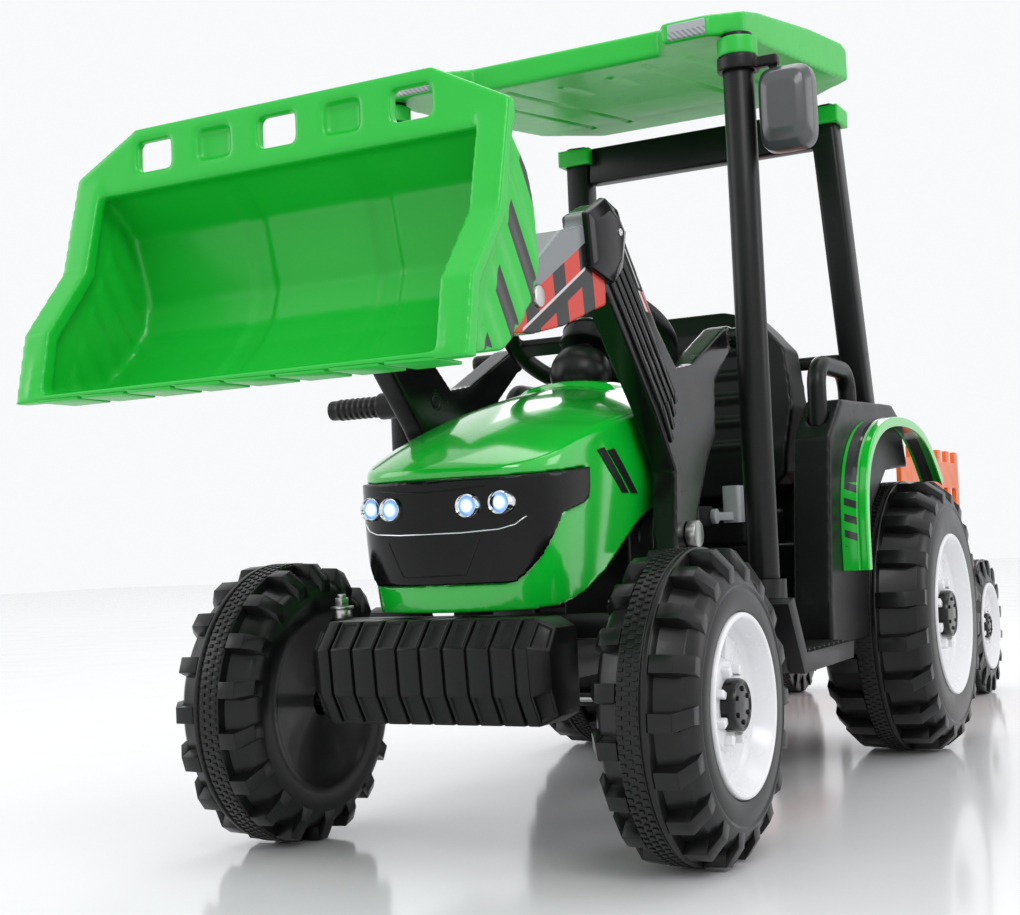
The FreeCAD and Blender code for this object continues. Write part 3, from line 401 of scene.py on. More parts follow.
# ---- Rims and hub caps
# White dished rims pressed into the tyres, each with a raised hub plate, square lugs round it and
# moulded pockets; a round black cap covers the axle nut and is held by small screws.
rim_white = moulded_finish("rim_white", (0.74, 0.74, 0.76, 1), 0.26, 0.04, coat=0.3, tone=0.03)
cap_black = moulded_finish("cap_black", (0.005, 0.005, 0.0055, 1), 0.22, 0.03, coat=0.15, tone=0.2, shine=0.3)
zinc = Finish("zinc_plate", Metallic=1.0, IOR=1.6)
zinc.feed("Base Color", zinc.mix(zinc.noise(70, 5), (0.5, 0.5, 0.48, 1), (0.72, 0.72, 0.7, 1)))
zinc.feed("Roughness", zinc.noise(300, 4) * 0.25 + 0.2)
zinc.bump(zinc.noise(900, 3), 0.06, 0.0003)


def rim(name, word, side):
    (x0, x1), (y0, y1), (z0, z1) = box_of(name)
    inner, outer = sorted((abs(x0), abs(x1)))
    opening = (z1 - z0) / 2 - 0.3
    centre = ((y0 + y1) / 2, (z0 + z1) / 2)
    deep = min(34, (outer - inner) * 0.5)
    verts, faces = [], []
    dish = [(outer - 14, opening), (outer - 2, opening), (outer, opening - 1.5), (outer, opening - 4.5),
            (outer - 2, opening - 6.5), (outer - deep * 0.62, opening * 0.86),
            (outer - deep * 0.74, opening * 0.80), (outer - deep * 0.80, opening * 0.52),
            (outer - deep * 0.56, opening * 0.48),
            (outer - deep * 0.52, opening * 0.36), (outer - deep * 0.60, 8), (outer - deep - 6, 8),
            (outer - deep - 6, opening * 0.80), (outer - 14, opening - 7)]
    turned(dish, centre, 96, verts, faces, side)

    def spot(x, r, turn):
        return (side * x, centre[0] + r * math.sin(turn), centre[1] + r * math.cos(turn))

    wedges = [((index + 0.5) * math.pi / 4, 0.12, 0.34, 0.45, 0.6, 0.30) for index in range(8)]
    wedges += [(index * math.pi / 2 + 0.4, 0.26, 0.50, 0.78, 0.9, 0.66) for index in range(4)]
    for turn, wide, near, far, floor_in, top_in in wedges:
        hexa([spot(x, opening * r, turn + way * wide) for x in (outer - deep * floor_in, outer - deep * top_in)
              for r, way in ((near, -1), (far, -0.8), (far, 0.8), (near, 1))], verts, faces)
    item = object_of(name + "_dish", verts, faces, rim_white, word)
    completed(item, bevel(1.3, 3, 30), 36)
    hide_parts(name)
    verts, faces = [], []
    round_cap = opening * 0.29
    cap = [(outer - deep * 0.6, 0.4), (outer - deep * 0.6, round_cap), (outer - 8, round_cap),
           (outer - 5, round_cap - 1.2), (outer - 4.2, round_cap - 3), (outer - 5.6, round_cap - 5),
           (outer - 4.5, round_cap * 0.5), (outer - 4, 0.4)]
    turned(cap, centre, 64, verts, faces, side)
    for index in range(6):
        turn = index * math.pi / 3
        place = (centre[0] + round_cap * 0.62 * math.sin(turn), centre[1] + round_cap * 0.62 * math.cos(turn))
        turned([(outer - 7, 0.3), (outer - 7, 2.6), (outer - 3.4, 2.6), (outer - 2.6, 1.6), (outer - 2.6, 0.3)],
               place, 12, verts, faces, side)
    item = object_of(name + "_cap", verts, faces, cap_black, word)
    smooth(item, 36)


for word, side in (("left", 1), ("right", -1)):
    for pair in ("front", "rear", "trailer"):
        rim(pair + "_rim_" + word, pair + "_wheel_" + word, side)

# ---- Chassis, axles, steering linkage and hitch
# Black painted steel channels and plates with folded edges, and bright zinc pins and rods.
# The moulded gearboxes hang on the rear axle.
steel_black = moulded_finish("steel_black", (0.006, 0.006, 0.0065, 1), 0.38, 0.08, coat=0.06, tone=0.2, fleck=0.08,
                             shine=0.3)


def body_of(node):
    return frame["nodes"][node]["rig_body"]


def copy_of(node, name, finish):
    """A new piece with a CAD node's form, its flat faces joined up; it rides on the node's body."""
    mesh = frame["nodes"][node].data.copy()
    shape = bmesh.new()
    shape.from_mesh(mesh)
    bmesh.ops.remove_doubles(shape, verts=shape.verts, dist=0.00001)
    bmesh.ops.dissolve_limit(shape, angle_limit=math.radians(0.5), verts=shape.verts, edges=shape.edges)
    shape.to_mesh(mesh)
    shape.free()
    mesh.materials.clear()
    mesh.materials.append(finish.material)
    item = placed(name, mesh)
    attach(item, body_of(node))
    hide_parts(node)
    return item


def eased(node, name, finish, width=1.2):
    """A CAD node's form with its sharp edges eased, as folded and turned parts have them."""
    item = copy_of(node, name, finish)
    settle(item, bevel(width, 2, 30))
    return smooth(item, 32)


def moulded(node, name, finish, cell=2.5, relax=4):
    """A CAD node's form with the soft edges of a blow moulding: remeshed finely and relaxed."""
    item = copy_of(node, name, finish)
    settle(item, ("REMESH", {"mode": "VOXEL", "voxel_size": cell * MM, "adaptivity": 0.0}),
           ("SMOOTH", {"factor": 0.5, "iterations": relax}))
    return smooth(item, 60)


for node in ("chassis_frame", "front_axle_beam", "tow_hitch", "trailer_frame", "loader_brackets"):
    eased(node, node + "_steel", steel_black, 1.0)
for node in ("tie_rod", "knuckle_left", "knuckle_right", "loader_pivot_bolts", "rear_axle", "steering_column"):
    eased(node, node + "_zinc", zinc, 0.7)
plastic_black = moulded_finish("plastic_black", (0.005, 0.005, 0.0055, 1), 0.36, 0.07, coat=0.03, tone=0.2,
                               fleck=0.05, shine=0.25)
eased("drive_gearboxes", "gearbox_cases", plastic_black, 2.0)
king_pin_x = 165
for side in (-1, 1):
    verts, faces = [], []
    for low, high, radius, count in ((250.2, 253, 13, 24), (253, 262, 8, 6), (262, 266, 5, 24)):
        first = len(verts)
        for z in (low, high):
            verts += [(side * king_pin_x + radius * math.cos(2 * math.pi * step / count),
                       radius * math.sin(2 * math.pi * step / count), z) for step in range(count)]
        above = first + count
        for step in range(count):
            after = (step + 1) % count
            faces.append((first + step, first + after, above + after, above + step))
        faces += [tuple(range(above - 1, first - 1, -1)), tuple(range(above, above + count))]
    nut = object_of("king_pin_nut_" + word_of(side), verts, faces, zinc, "knuckle_" + word_of(side))
    completed(nut, bevel(0.6, 2, 30), 32)

# ---- Front weights
# One black moulding shaped like a stack of cast weights: eight ribs with grooves between them,
# a shallow recess in each chamfer, and wide end blocks.
weight_outline = [(-112, 170), (-94, 139), (-40, 139), (-34, 150), (-34, 236), (-42, 241), (-92, 241), (-116, 214)]


def slab(outline, x_low, x_high, verts, faces):
    """Adds a plate with a (y, z) outline between two x places."""
    first, count = len(verts), len(outline)
    verts += [(x_low, y, z) for y, z in outline] + [(x_high, y, z) for y, z in outline]
    faces.append(tuple(range(first, first + count)))
    faces.append(tuple(range(first + 2 * count - 1, first + count - 1, -1)))
    for index in range(count):
        after = (index + 1) % count
        faces.append((first + after, first + index, first + count + index, first + count + after))


def face_outward(mesh):
    """Turns every face of a mesh to look outward."""
    shape = bmesh.new()
    shape.from_mesh(mesh)
    bmesh.ops.recalc_face_normals(shape, faces=shape.faces)
    shape.to_mesh(mesh)
    shape.free()


def recessed(item, choose, margin, depth):
    """Sinks a pocket into every face that choose picks, with a margin left round it."""
    shape = bmesh.new()
    shape.from_mesh(item.data)
    shape.normal_update()
    picked = [face for face in shape.faces if choose(face)]
    bmesh.ops.inset_individual(shape, faces=picked, thickness=margin * MM, depth=0)
    for face in picked:
        bmesh.ops.inset_individual(shape, faces=[face], thickness=1.2 * MM, depth=-depth * MM)
    shape.to_mesh(item.data)
    shape.free()


verts, faces = [], []
rib_half = 104
rib_count = 8
pitch = 2 * rib_half / rib_count
block_inner, block_outer = 118, 135
inner_outline = [(y + (4 if y < -80 else 0), min(237, max(143, z))) for y, z in weight_outline]
slab(inner_outline, -rib_half - 4, rib_half + 4, verts, faces)
for index in range(rib_count):
    middle = -rib_half + (index + 0.5) * pitch
    slab(weight_outline, middle - pitch * 0.44, middle + pitch * 0.44, verts, faces)
for side in (-1, 1):
    low, high = sorted((side * (rib_half + 1.5), side * block_inner))
    slab(weight_outline, low, high, verts, faces)
    first = len(verts)
    end_outline = [(-98, 176), (-84, 148), (-44, 148), (-40, 154), (-40, 226), (-46, 232), (-84, 232), (-100, 210)]
    verts += [(side * block_inner, y, z) for y, z in weight_outline]
    verts += [(side * block_outer, y, z) for y, z in end_outline]
    count = len(weight_outline)
    for index in range(count):
        after = (index + 1) % count
        faces.append((first + index, first + after, first + count + after, first + count + index)[::side])
    faces.append(tuple(range(first, first + count))[::-side])
    faces.append(tuple(range(first + count, first + 2 * count))[::side])
weights = object_of("weight_block", verts, faces, plastic_black, "chassis")
face_outward(weights.data)
recessed(weights, lambda face: face.normal.y < -0.3 and abs(face.normal.z) > 0.3
         and 0.0005 < face.calc_area() < 0.0016, 4.6, 2.6)
completed(weights, bevel(1.6, 3, 24))
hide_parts("front_weights")

# ---- Bonnet
# One glossy green moulding: a beak over the grille, a crease that runs back along each side, and
# a hump in front of the wheel. Slanted black vents are let into its sides.
bright_green = (0.003, 0.50, 0.030, 1)
green_gloss = moulded_finish("green_gloss", bright_green, 0.15, 0.012, coat=0.8, tone=0.05)
green_satin = moulded_finish("green_satin", (0.004, 0.45, 0.030, 1), 0.40, 0.07, coat=0.08, tone=0.07)
half_plan = ((0, -81), (44, -75), (76, -61), (98, -38), (109, 0), (113, 80), (115, 180), (115, 280), (112, 368))
lower_edge = (247, 247, 247, 248, 250, 275, 345, 356, 362)
crease_edge = (386, 386, 386, 389, 402, 430, 452, 464, 462)
spine = ((-81, 386), (-66, 396), (-48, 407), (-25, 419), (5, 431), (85, 457), (184, 482), (285, 497), (368, 482))
verts, faces = [], []
side_steps_up = (0, 0.25, 0.6, 1)
top_steps_in = (0.18, 0.42, 0.7, 1)
ring_size = len(side_steps_up) + len(top_steps_in)
for (x, y), low, crease, (spine_y, spine_z) in zip(half_plan, lower_edge, crease_edge, spine):
    for up in side_steps_up:
        tuck = (1 - up) ** 2
        verts.append((x * (1 - 0.05 * tuck), y + (13 * tuck if y < 0 else 0), low + (crease - low) * up))
    for into in top_steps_in:
        rise = 1 - (1 - into) ** 1.9
        verts.append((x * (1 - into), y + (spine_y - y) * into, crease + (spine_z - crease) * rise))
for row in range(len(half_plan) - 1):
    for column in range(ring_size - 1):
        here = row * ring_size + column
        faces.append((here, here + 1, here + ring_size + 1, here + ring_size))
last = (len(half_plan) - 1) * ring_size
verts.append((0, 368, 362))
faces.append(tuple(range(last, last + ring_size)) + (len(verts) - 1,))


def bonnet_skin(name, finish):
    item = object_of(name, verts, faces, finish, "chassis")
    crease_line = len(side_steps_up) - 1
    edge_crease = item.data.attributes.new("crease_edge", "FLOAT", "EDGE")
    for edge in item.data.edges:
        first, second = sorted(edge.vertices)
        along_line = first % ring_size == crease_line and second == first + ring_size
        at_back = first >= last and second >= last
        edge_crease.data[edge.index].value = 0.75 if along_line or at_back else 0.0
    settle(item, ("MIRROR", {"use_clip": True, "merge_threshold": 0.0005}),
           ("SUBSURF", {"levels": 4, "render_levels": 4}))
    return item


def window_cutter(name, outline, reach):
    """A prism across the tractor with a (y, z) outline, used as a cutter and then dropped."""
    cut_verts, cut_faces = [], []
    slab(outline, -reach, reach, cut_verts, cut_faces)
    mesh = bpy.data.meshes.new(name)
    mesh.from_pydata([at(*vert) for vert in cut_verts], [], cut_faces)
    item = placed(name, mesh)
    face_outward(mesh)
    return item


grille_window = [(-110, 274), (-58, 274), (-40, 298), (-14, 342), (22, 350), (36, 356), (38, 388), (0, 384),
                 (-48, 380), (-110, 376)]
bonnet = bonnet_skin("bonnet", green_gloss)
cutter = window_cutter("grille_cutter", grille_window, 160)
hump_half, hump_front, hump_back = 62, 225, 350
for vert in bonnet.data.vertices:
    x, y, z = vert.co.x / MM, (vert.co.y - axle_y) / MM, vert.co.z / MM
    if z > 462 and abs(x) < hump_half and hump_front < y < hump_back:
        across = min(1, (hump_half - abs(x)) / 10)
        along = min(1, (y - hump_front) / 14, (hump_back - y) / 14)
        hollow = 1 if abs(x) < 34 and 246 < y < 300 else 0
        vert.co.z += (7 * across * along - 2.5 * hollow) * MM
settle(bonnet, ("SOLIDIFY", {"thickness": 6 * MM, "offset": -1}),
       ("BOOLEAN", {"operation": "DIFFERENCE", "object": cutter, "solver": "EXACT"}),
       ("REMESH", {"mode": "VOXEL", "voxel_size": 2.4 * MM}), ("SMOOTH", {"factor": 0.5, "iterations": 4}))
smooth(bonnet, 60)
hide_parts("hood")


def plate_on(name, target, outline, side, thick, finish, body):
    """A thin plate with a (y, z) outline, wrapped on one side of another piece."""
    mesh = bpy.data.meshes.new(name)
    shape = bmesh.new()
    shape.faces.new([shape.verts.new(at(side * 400, y, z)) for y, z in outline])
    bmesh.ops.subdivide_edges(shape, edges=shape.edges[:], cuts=10, use_grid_fill=True)
    shape.to_mesh(mesh)
    shape.free()
    item = placed(name, mesh)
    settings = {"target": target, "wrap_method": "PROJECT", "use_negative_direction": True,
                "use_positive_direction": True, "use_project_x": True, "offset": 0.4 * MM,
                "wrap_mode": "ABOVE_SURFACE"}
    settle(item, ("SHRINKWRAP", settings), ("SOLIDIFY", {"thickness": thick * MM, "offset": 0}))
    item.data.materials.append(finish.material)
    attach(item, body)
    return smooth(item, 40)


for side in (-1, 1):
    word = word_of(side)
    for index, start in enumerate((62, 86)):
        outline = [(start, 406), (start + 16, 409), (start + 76, 362), (start + 59, 362)]
        plate_on("bonnet_vent_%s_%d" % (word, index), bonnet, outline, side, 1.4, plastic_black, "chassis")

# ---- Grille and lamps
# A glossy black mask set back in the nose, with a bright trim line under the lamps and a plain
# panel line below. Four small lamps with blue-white lenses sit in its upper wing; their lenses
# carry a painted glow by emission, brightest at each lamp's centre, as a painted highlight.
black_gloss = moulded_finish("black_gloss", (0.003, 0.003, 0.0035, 1), 0.14, 0.01, coat=0.06, tone=0.2, shine=0.2)
mask = bonnet_skin("grille_mask", black_gloss)
settle(mask, ("DISPLACE", {"strength": -4.0 * MM, "mid_level": 0.0}),
       ("SOLIDIFY", {"thickness": 7 * MM, "offset": -1}),
       ("BOOLEAN", {"operation": "INTERSECT", "object": cutter, "solver": "EXACT"}))
lamp_places = ((74, 353), (44, 351))
settle(mask, ("REMESH", {"mode": "VOXEL", "voxel_size": 1.7 * MM}), ("SMOOTH", {"factor": 0.5, "iterations": 3}))
smooth(mask, 60)
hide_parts("grille")
bpy.data.objects.remove(cutter)
chrome = Finish("lamp_chrome", Metallic=1.0)
chrome.feed("Base Color", chrome.mix(chrome.noise(60, 4), (0.62, 0.64, 0.66, 1), (0.82, 0.84, 0.86, 1)))
chrome.feed("Roughness", chrome.noise(200, 3) * 0.12 + 0.08)
lens = Finish("lamp_lens", IOR=1.45, Coat_Weight=1.0, Emission_Strength=1.0)
lens.feed("Base Color", lens.mix(lens.noise(90, 3), (0.25, 0.45, 0.75, 1), (0.75, 0.88, 1.0, 1)))
lens.feed("Roughness", lens.noise(120, 2) * 0.05 + 0.04)
# Painted light: the lenses emit a blue glow that is brightest at each lamp's centre, a painted highlight.
x, y, z = lens.axes()
painted_lens_glow = 0
for lamp_x, lamp_z in lamp_places:
    off_x, off_z = (abs(x) - lamp_x * MM) * 1000, (z - lamp_z * MM) * 1000
    painted_lens_glow = lens.node("MapRange", {"clamp": True}, {0: off_x * off_x + off_z * off_z, 1: 52, 2: 14}) + painted_lens_glow
lens.feed("Emission Color", lens.mix(painted_lens_glow, (0.02, 0.12, 0.42, 1), (0.75, 1.0, 1.35, 1)))


def onto_nose(x, z):
    """The y of the grille mask's face at an x and z, found by a ray from in front."""
    start = at(x, -300, z)
    hit, place, normal, index = mask.ray_cast(start, Vector((0, 1, 0)))
    return (place.y - axle_y) / MM if hit else -60


def revolved(profile, steps, spot, verts, faces):
    """Adds an open turned surface; spot gives the place of a profile point at an angle."""
    count = len(profile)
    for step in range(steps):
        verts += [spot(along, radius, 2 * math.pi * step / steps) for along, radius in profile]
    for step in range(steps):
        here, there = step * count, (step + 1) % steps * count
        faces += [(here + k, there + k, there + k + 1, here + k + 1) for k in range(count - 1)]


for index, (x, z) in enumerate(lamp_places):
    face_y = onto_nose(x, z) - 4.5
    for side in (-1, 1):
        word = "%s_%d" % (word_of(side), index)
        verts, faces = [], []
        bezel = [(face_y + 16, 12.0), (face_y - 1, 12.0), (face_y - 2, 11.2), (face_y - 1, 10.2), (face_y + 6, 6)]

        def round_lamp(y, radius, angle):
            return (side * x + radius * math.cos(angle), y, z + radius * math.sin(angle))

        revolved(bezel, 40, round_lamp, verts, faces)
        ring = object_of("lamp_ring_" + word, verts, faces, chrome, "chassis")
        smooth(ring, 50)
        verts, faces = [(side * x, face_y - 1.5, z)], []
        for level in range(1, 6):
            radius = 10.4 * level / 5
            depth = face_y - 1.5 + 4.5 * (level / 5) ** 2
            verts += [round_lamp(depth, radius, step * math.pi / 16) for step in range(32)]
        faces += [(0, 1 + (step + 1) % 32, 1 + step) for step in range(32)]
        for level in range(4):
            base = 1 + level * 32
            faces += [(base + step, base + (step + 1) % 32, base + 32 + (step + 1) % 32, base + 32 + step)
                      for step in range(32)]
        glass = object_of("lamp_lens_" + word, verts, faces, lens, "chassis")
        smooth(glass, 60)
        if index == 0 and side > 0:
            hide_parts("headlamps")


def strip(name, points, width, finish, body):
    """A thin raised line through points, as a fine bead on a moulding."""
    curve = bpy.data.curves.new(name, "CURVE")
    curve.dimensions = "3D"
    curve.bevel_depth = width * MM
    curve.bevel_resolution = 2
    spline = curve.splines.new("POLY")
    spline.points.add(len(points) - 1)
    for point, place in zip(spline.points, points):
        point.co = (*at(*place), 1)
    item = placed(name, curve)
    mesh = bpy.data.meshes.new_from_object(item)
    bpy.data.objects.remove(item)
    piece = placed(name, mesh)
    mesh.materials.clear()
    mesh.materials.append(finish.material)
    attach(piece, body)
    return smooth(piece, 50)


for name, line, width in (("grille_trim", [(-92, 338), (-84, 331), (-70, 327), (-35, 325), (0, 325), (35, 325),
                                          (70, 327), (84, 331), (92, 338)], 0.9),
                          ("grille_panel_line", [(-52, 318), (-36, 284), (0, 283), (36, 284), (52, 318)], 0.7),
                          ("grille_upper_line", [(-60, 370), (-30, 367), (0, 366), (30, 367), (60, 370)], 0.7)):
    points = []
    for (xa, za), (xb, zb) in zip(line, line[1:]):
        for step in range(4):
            share = step / 4
            x, z = xa + (xb - xa) * share, za + (zb - za) * share
            points.append((x, onto_nose(x, z), z))
    points.append((line[-1][0], onto_nose(*line[-1]), line[-1][1]))
    if name == "grille_trim":
        wing = []
        for place in ((98, -34, 343), (102, -20, 352), (106, -2, 362), (108, 12, 372), (109, 22, 377)):
            hit, spot, normal, face = mask.closest_point_on_mesh(at(*place))
            spot += normal * 0.3 * MM
            wing.append((spot.x / MM, (spot.y - axle_y) / MM, spot.z / MM))
        points = [(-x, y, z) for x, y, z in reversed(wing)] + points + wing
    strip(name, points, width, chrome if name == "grille_trim" else black_gloss, "chassis")

# ---- Dashboard and steering wheel
# A black moulded column cowl with a ball joint cover, and a one-piece wheel with a thick grip,
# flat spokes and a domed boss with a ridge across it.
moulded("dashboard", "dash_cowl", plastic_black, 2.4, 4)
moulded("steering_wheel", "wheel_grip", plastic_black, 1.9, 4)
lean = math.radians(33)
boss_centre = Vector((0, 308, 556))
lean_axis = Vector((0, math.sin(lean), math.cos(lean)))
lean_side = Vector((0, math.cos(lean), -math.sin(lean)))
verts, faces = [], []
dome = [(6, 33), (10, 31), (15, 26), (19, 18), (21, 9), (21.6, 0.5)]


def round_boss(rise, radius, angle):
    across = Vector((1, 0, 0)) * radius * math.cos(angle)
    return tuple(boss_centre + lean_axis * rise + across + lean_side * radius * math.sin(angle))


revolved(dome, 40, round_boss, verts, faces)
boss = object_of("wheel_boss", verts, faces, plastic_black, "steering")
smooth(boss, 50)

# ---- Floor, steps, pedal and gear lever
# A flat black floor with ribbed side steps that carry the front posts, a sprung accelerator
# treadle, and a grey knob on the gear lever.
grey_plastic = moulded_finish("grey_plastic", (0.30, 0.31, 0.32, 1), 0.34, 0.05, coat=0.1, tone=0.08)
eased("floor_pan", "floor_tray", plastic_black, 2.0)
eased("side_steps", "step_boards", plastic_black, 2.4)
eased("pedal", "pedal_treadle", plastic_black, 1.4)
eased("gear_lever", "gear_knob", grey_plastic, 2.0)
for side in (-1, 1):
    verts, faces = [], []
    for index in range(9):
        y = 268 + index * 19
        low, high = sorted((side * 196, side * 262))
        slab([(y, 179), (y + 7, 179), (y + 6, 182.5), (y + 1, 182.5)], low, high, verts, faces)
    ribs = object_of("step_ribs_" + word_of(side), verts, faces, plastic_black, "chassis")
    completed(ribs, bevel(0.8, 2, 30))
verts, faces = [], []
for index in range(5):
    share = (index + 0.7) / 5.6
    y, z = 345 - 62 * share, 238 + 6 + 44 * share
    slab([(y - 3, z - 3), (y + 3, z - 3), (y + 4.5, z + 2.5), (y - 1.5, z + 2.5)], -100, -60, verts, faces)
treads = object_of("pedal_grips", verts, faces, plastic_black, "pedal")
completed(treads, bevel(0.6, 2, 30))

# ---- Rear body, seat, housings and mudguards
# Black blow-moulded rear body, seat pan and back with moulded ribs, side housings with a grab
# rail on top, and glossy green mudguards with dark slanted stripes on the front of each.
moulded("rear_body", "rear_case", plastic_black, 3.2, 4)
eased("battery", "battery_case", plastic_black, 2.5)


def ridged(item, places, axis, half, height, limits):
    """Raises soft ridges on a piece: at each place along an axis, of a half width and height."""
    for vert in item.data.vertices:
        place = (vert.co.x / MM, (vert.co.y - axle_y) / MM, vert.co.z / MM)
        if not limits(place):
            continue
        for spot in places:
            reach = abs(place[axis] - spot) / half
            if reach < 1:
                vert.co += vert.normal * height * MM * (0.5 + 0.5 * math.cos(math.pi * reach))
    return item


seat = moulded("seat_base", "seat_pan", plastic_black, 2.6, 10)
ridged(seat, [510, 536, 562, 588], 1, 7, 3, lambda place: abs(place[0]) < 100 and place[2] > 335)
back = moulded("seat_back", "seat_shell", plastic_black, 2.8, 12)
ridged(back, [430, 462, 494, 526, 558], 2, 8, 4, lambda place: abs(place[0]) < 128 and place[1] < 590)
for side in (-1, 1):
    word = word_of(side)
    moulded("rear_housing_" + word, "side_housing_" + word, plastic_black, 3.0, 4)
eased("grab_handles", "grab_rails", plastic_black, 0.8)
fender_green = moulded_finish("fender_green", bright_green, 0.15, 0.012, coat=0.8, tone=0.05)
x, y, z = fender_green.axes()
decal = fender_green.band(abs(x), 0.2465, 0.2625, 0.0005)
bars = ((z + abs(x) * 0.35) * 50).fraction() > 0.52
dark = decal * (bars * fender_green.band(z, 0.292, 0.372) + fender_green.band(z, 0.372, 0.5))
fender_green.feed("Base Color", fender_green.mix(dark, fender_green.color, (0.035, 0.037, 0.038, 1)))
guard_line = [(509, 262), (508, 312), (511, 352), (522, 388), (545, 418), (580, 441), (625, 456), (680, 463),
              (735, 464), (790, 461), (840, 450), (882, 430), (915, 407), (944, 384)]
guard_section = [(242, 0), (262.5, 0), (264, 2), (265.5, 0), (274.5, 0), (276, 1.5), (276, 13), (273, 13),
                 (272, 5), (242, 5)]
for side in (-1, 1):
    word = word_of(side)
    verts, faces = [], []
    count = len(guard_section)
    for index, (y, z) in enumerate(guard_line):
        before, after = guard_line[max(0, index - 1)], guard_line[min(len(guard_line) - 1, index + 1)]
        run = Vector((after[0] - before[0], after[1] - before[1])).normalized()
        verts += [(side * across, y + run.y * deep, z - run.x * deep) for across, deep in guard_section]
    for index in range(len(guard_line) - 1):
        here = index * count
        faces += [(here + k, here + (k + 1) % count, here + count + (k + 1) % count, here + count + k)[::side]
                  for k in range(count)]
    faces.append(tuple(range(count))[::-side])
    faces.append(tuple(range(len(verts) - count, len(verts)))[::side])
    guard = object_of("mudguard_" + word, verts, faces, fender_green, "chassis")
    settle(guard, bevel(0.8, 2, 40), ("SUBSURF", {"levels": 2, "render_levels": 2}))
    smooth(guard, 50)
    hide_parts("fender_" + word)

# ---- Posts, crossbars, roof, reflectors and mirrors
# Black posts carry a satin green moulded roof with a deep skirt; its underside has long panel
# lines and tabs. Grey reflectors sit in the front horns, and mirrors hang on clamped arms.
eased("front_posts", "post_tubes_front", plastic_black, 1.0)
eased("rear_posts", "post_tubes_rear", plastic_black, 6.0)
eased("crossbars", "cross_tubes", plastic_black, 5.0)
roof = moulded("roof", "roof_shell", green_satin, 2.8, 9)
ridged(roof, [-150, -92, 92, 150], 0, 6, -3, lambda place: place[2] < 935 and 300 < place[1] < 690)
ridged(roof, [-34, 34], 0, 9, 2.5, lambda place: place[2] < 900 and 330 < place[1] < 420)
moulded("post_sockets", "post_collars", green_satin, 1.8, 3)
reflector_grey = moulded_finish("reflector_grey", (0.34, 0.36, 0.38, 1), 0.18, 0.02, coat=0.6, tone=0.08)
x, y, z = reflector_grey.axes()
hatch = ((x + z) * 160).fraction() > 0.5
lower_half = z < 0.880
hatched = reflector_grey.mix(hatch * lower_half * 0.6, reflector_grey.color, (0.12, 0.13, 0.14, 1))
reflector_grey.feed("Base Color", hatched)
for side in (-1, 1):
    verts, faces = [], []
    low, high = sorted((side * 157, side * 202))
    slab([(216.2, 872), (219, 870), (219, 890), (216.2, 888)], low, high, verts, faces)
    plate = object_of("roof_reflector_" + word_of(side), verts, faces, reflector_grey, "chassis")
    completed(plate, bevel(0.7, 2, 30))
    if side > 0:
        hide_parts("roof_reflectors")
moulded("mirror_arms", "mirror_brackets", plastic_black, 1.8, 3)
mirror_grey = moulded_finish("mirror_grey", (0.055, 0.058, 0.062, 1), 0.3, 0.04, coat=0.3, tone=0.1)
mirror_glass = Finish("mirror_glass", Metallic=1.0)
silvering = mirror_glass.mix(mirror_glass.noise(20, 3), (0.78, 0.8, 0.82, 1), (0.86, 0.88, 0.9, 1))
mirror_glass.feed("Base Color", silvering)
mirror_glass.feed("Roughness", mirror_glass.noise(60, 3) * 0.06 + 0.03)
for side in (-1, 1):
    word = word_of(side)
    (x0, x1), (y0, y1), (z0, z1) = box_of("mirror_head_" + word)
    middle_x, middle_z = (x0 + x1) / 2, (z0 + z1) / 2
    half_x, half_z = (x1 - x0) / 2 - 0.5, (z1 - z0) / 2 - 0.5
    verts, faces = [], []
    levels = ((y1 - 1, 0.90, 0.92), (y1 - 5, 1.0, 1.0), (y0 + 17, 0.98, 0.98), (y0 + 6, 0.80, 0.82),
              (y0 + 1, 0.52, 0.55))
    corners = 32
    for y, wide, tall in levels:
        for step in range(corners):
            angle = 2 * math.pi * step / corners
            c, s = math.cos(angle), math.sin(angle)
            verts.append((middle_x + half_x * wide * math.copysign(abs(c) ** 0.45, c), y,
                          middle_z + half_z * tall * math.copysign(abs(s) ** 0.38, s)))
    for level in range(len(levels) - 1):
        base = level * corners
        faces += [(base + step, base + (step + 1) % corners, base + corners + (step + 1) % corners,
                   base + corners + step) for step in range(corners)]
    faces.append(tuple(range(corners - 1, -1, -1)))
    faces.append(tuple(range((len(levels) - 1) * corners, len(levels) * corners)))
    head = object_of("mirror_shell_" + word, verts, faces, mirror_grey, "mirror_" + word)
    completed(head, bevel(1.8, 3, 20), 26)
    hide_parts("mirror_head_" + word)
    verts = [(middle_x + half_x * 0.78 * math.copysign(abs(math.cos(a)) ** 0.45, math.cos(a)), y1 - 0.6,
              middle_z + half_z * 0.80 * math.copysign(abs(math.sin(a)) ** 0.38, math.sin(a)))
             for a in [2 * math.pi * step / corners for step in range(corners)]]
    glass = object_of("mirror_face_" + word, verts, [tuple(range(corners))[::-1]], mirror_glass, "mirror_" + word)

# ---- Loader arms
# Black glossy box-shaped arms with four long ribs down each leg and a striped red and black upper
# arm with a grey top. Creased covers are screwed on the elbows, and a cross tube joins the arms.
arm_finish = moulded_finish("arm_plastic", (0.003, 0.003, 0.0035, 1), 0.2, 0.02, coat=0.06, tone=0.2, shine=0.3)
x, y, z = arm_finish.axes()
y = y - axle_y
upper = (y + z * 0.29 < 0.1755) * (z > 0.47)
red_stripe = ((y + z * 0.12) * 15.9 + 0.62).fraction() > 0.44
above_slope = z - y * 0.54
painted = arm_finish.mix(red_stripe, (0.009, 0.009, 0.01, 1), (0.56, 0.03, 0.014, 1))
painted = arm_finish.mix(above_slope > 0.620, painted, (0.20, 0.21, 0.22, 1))
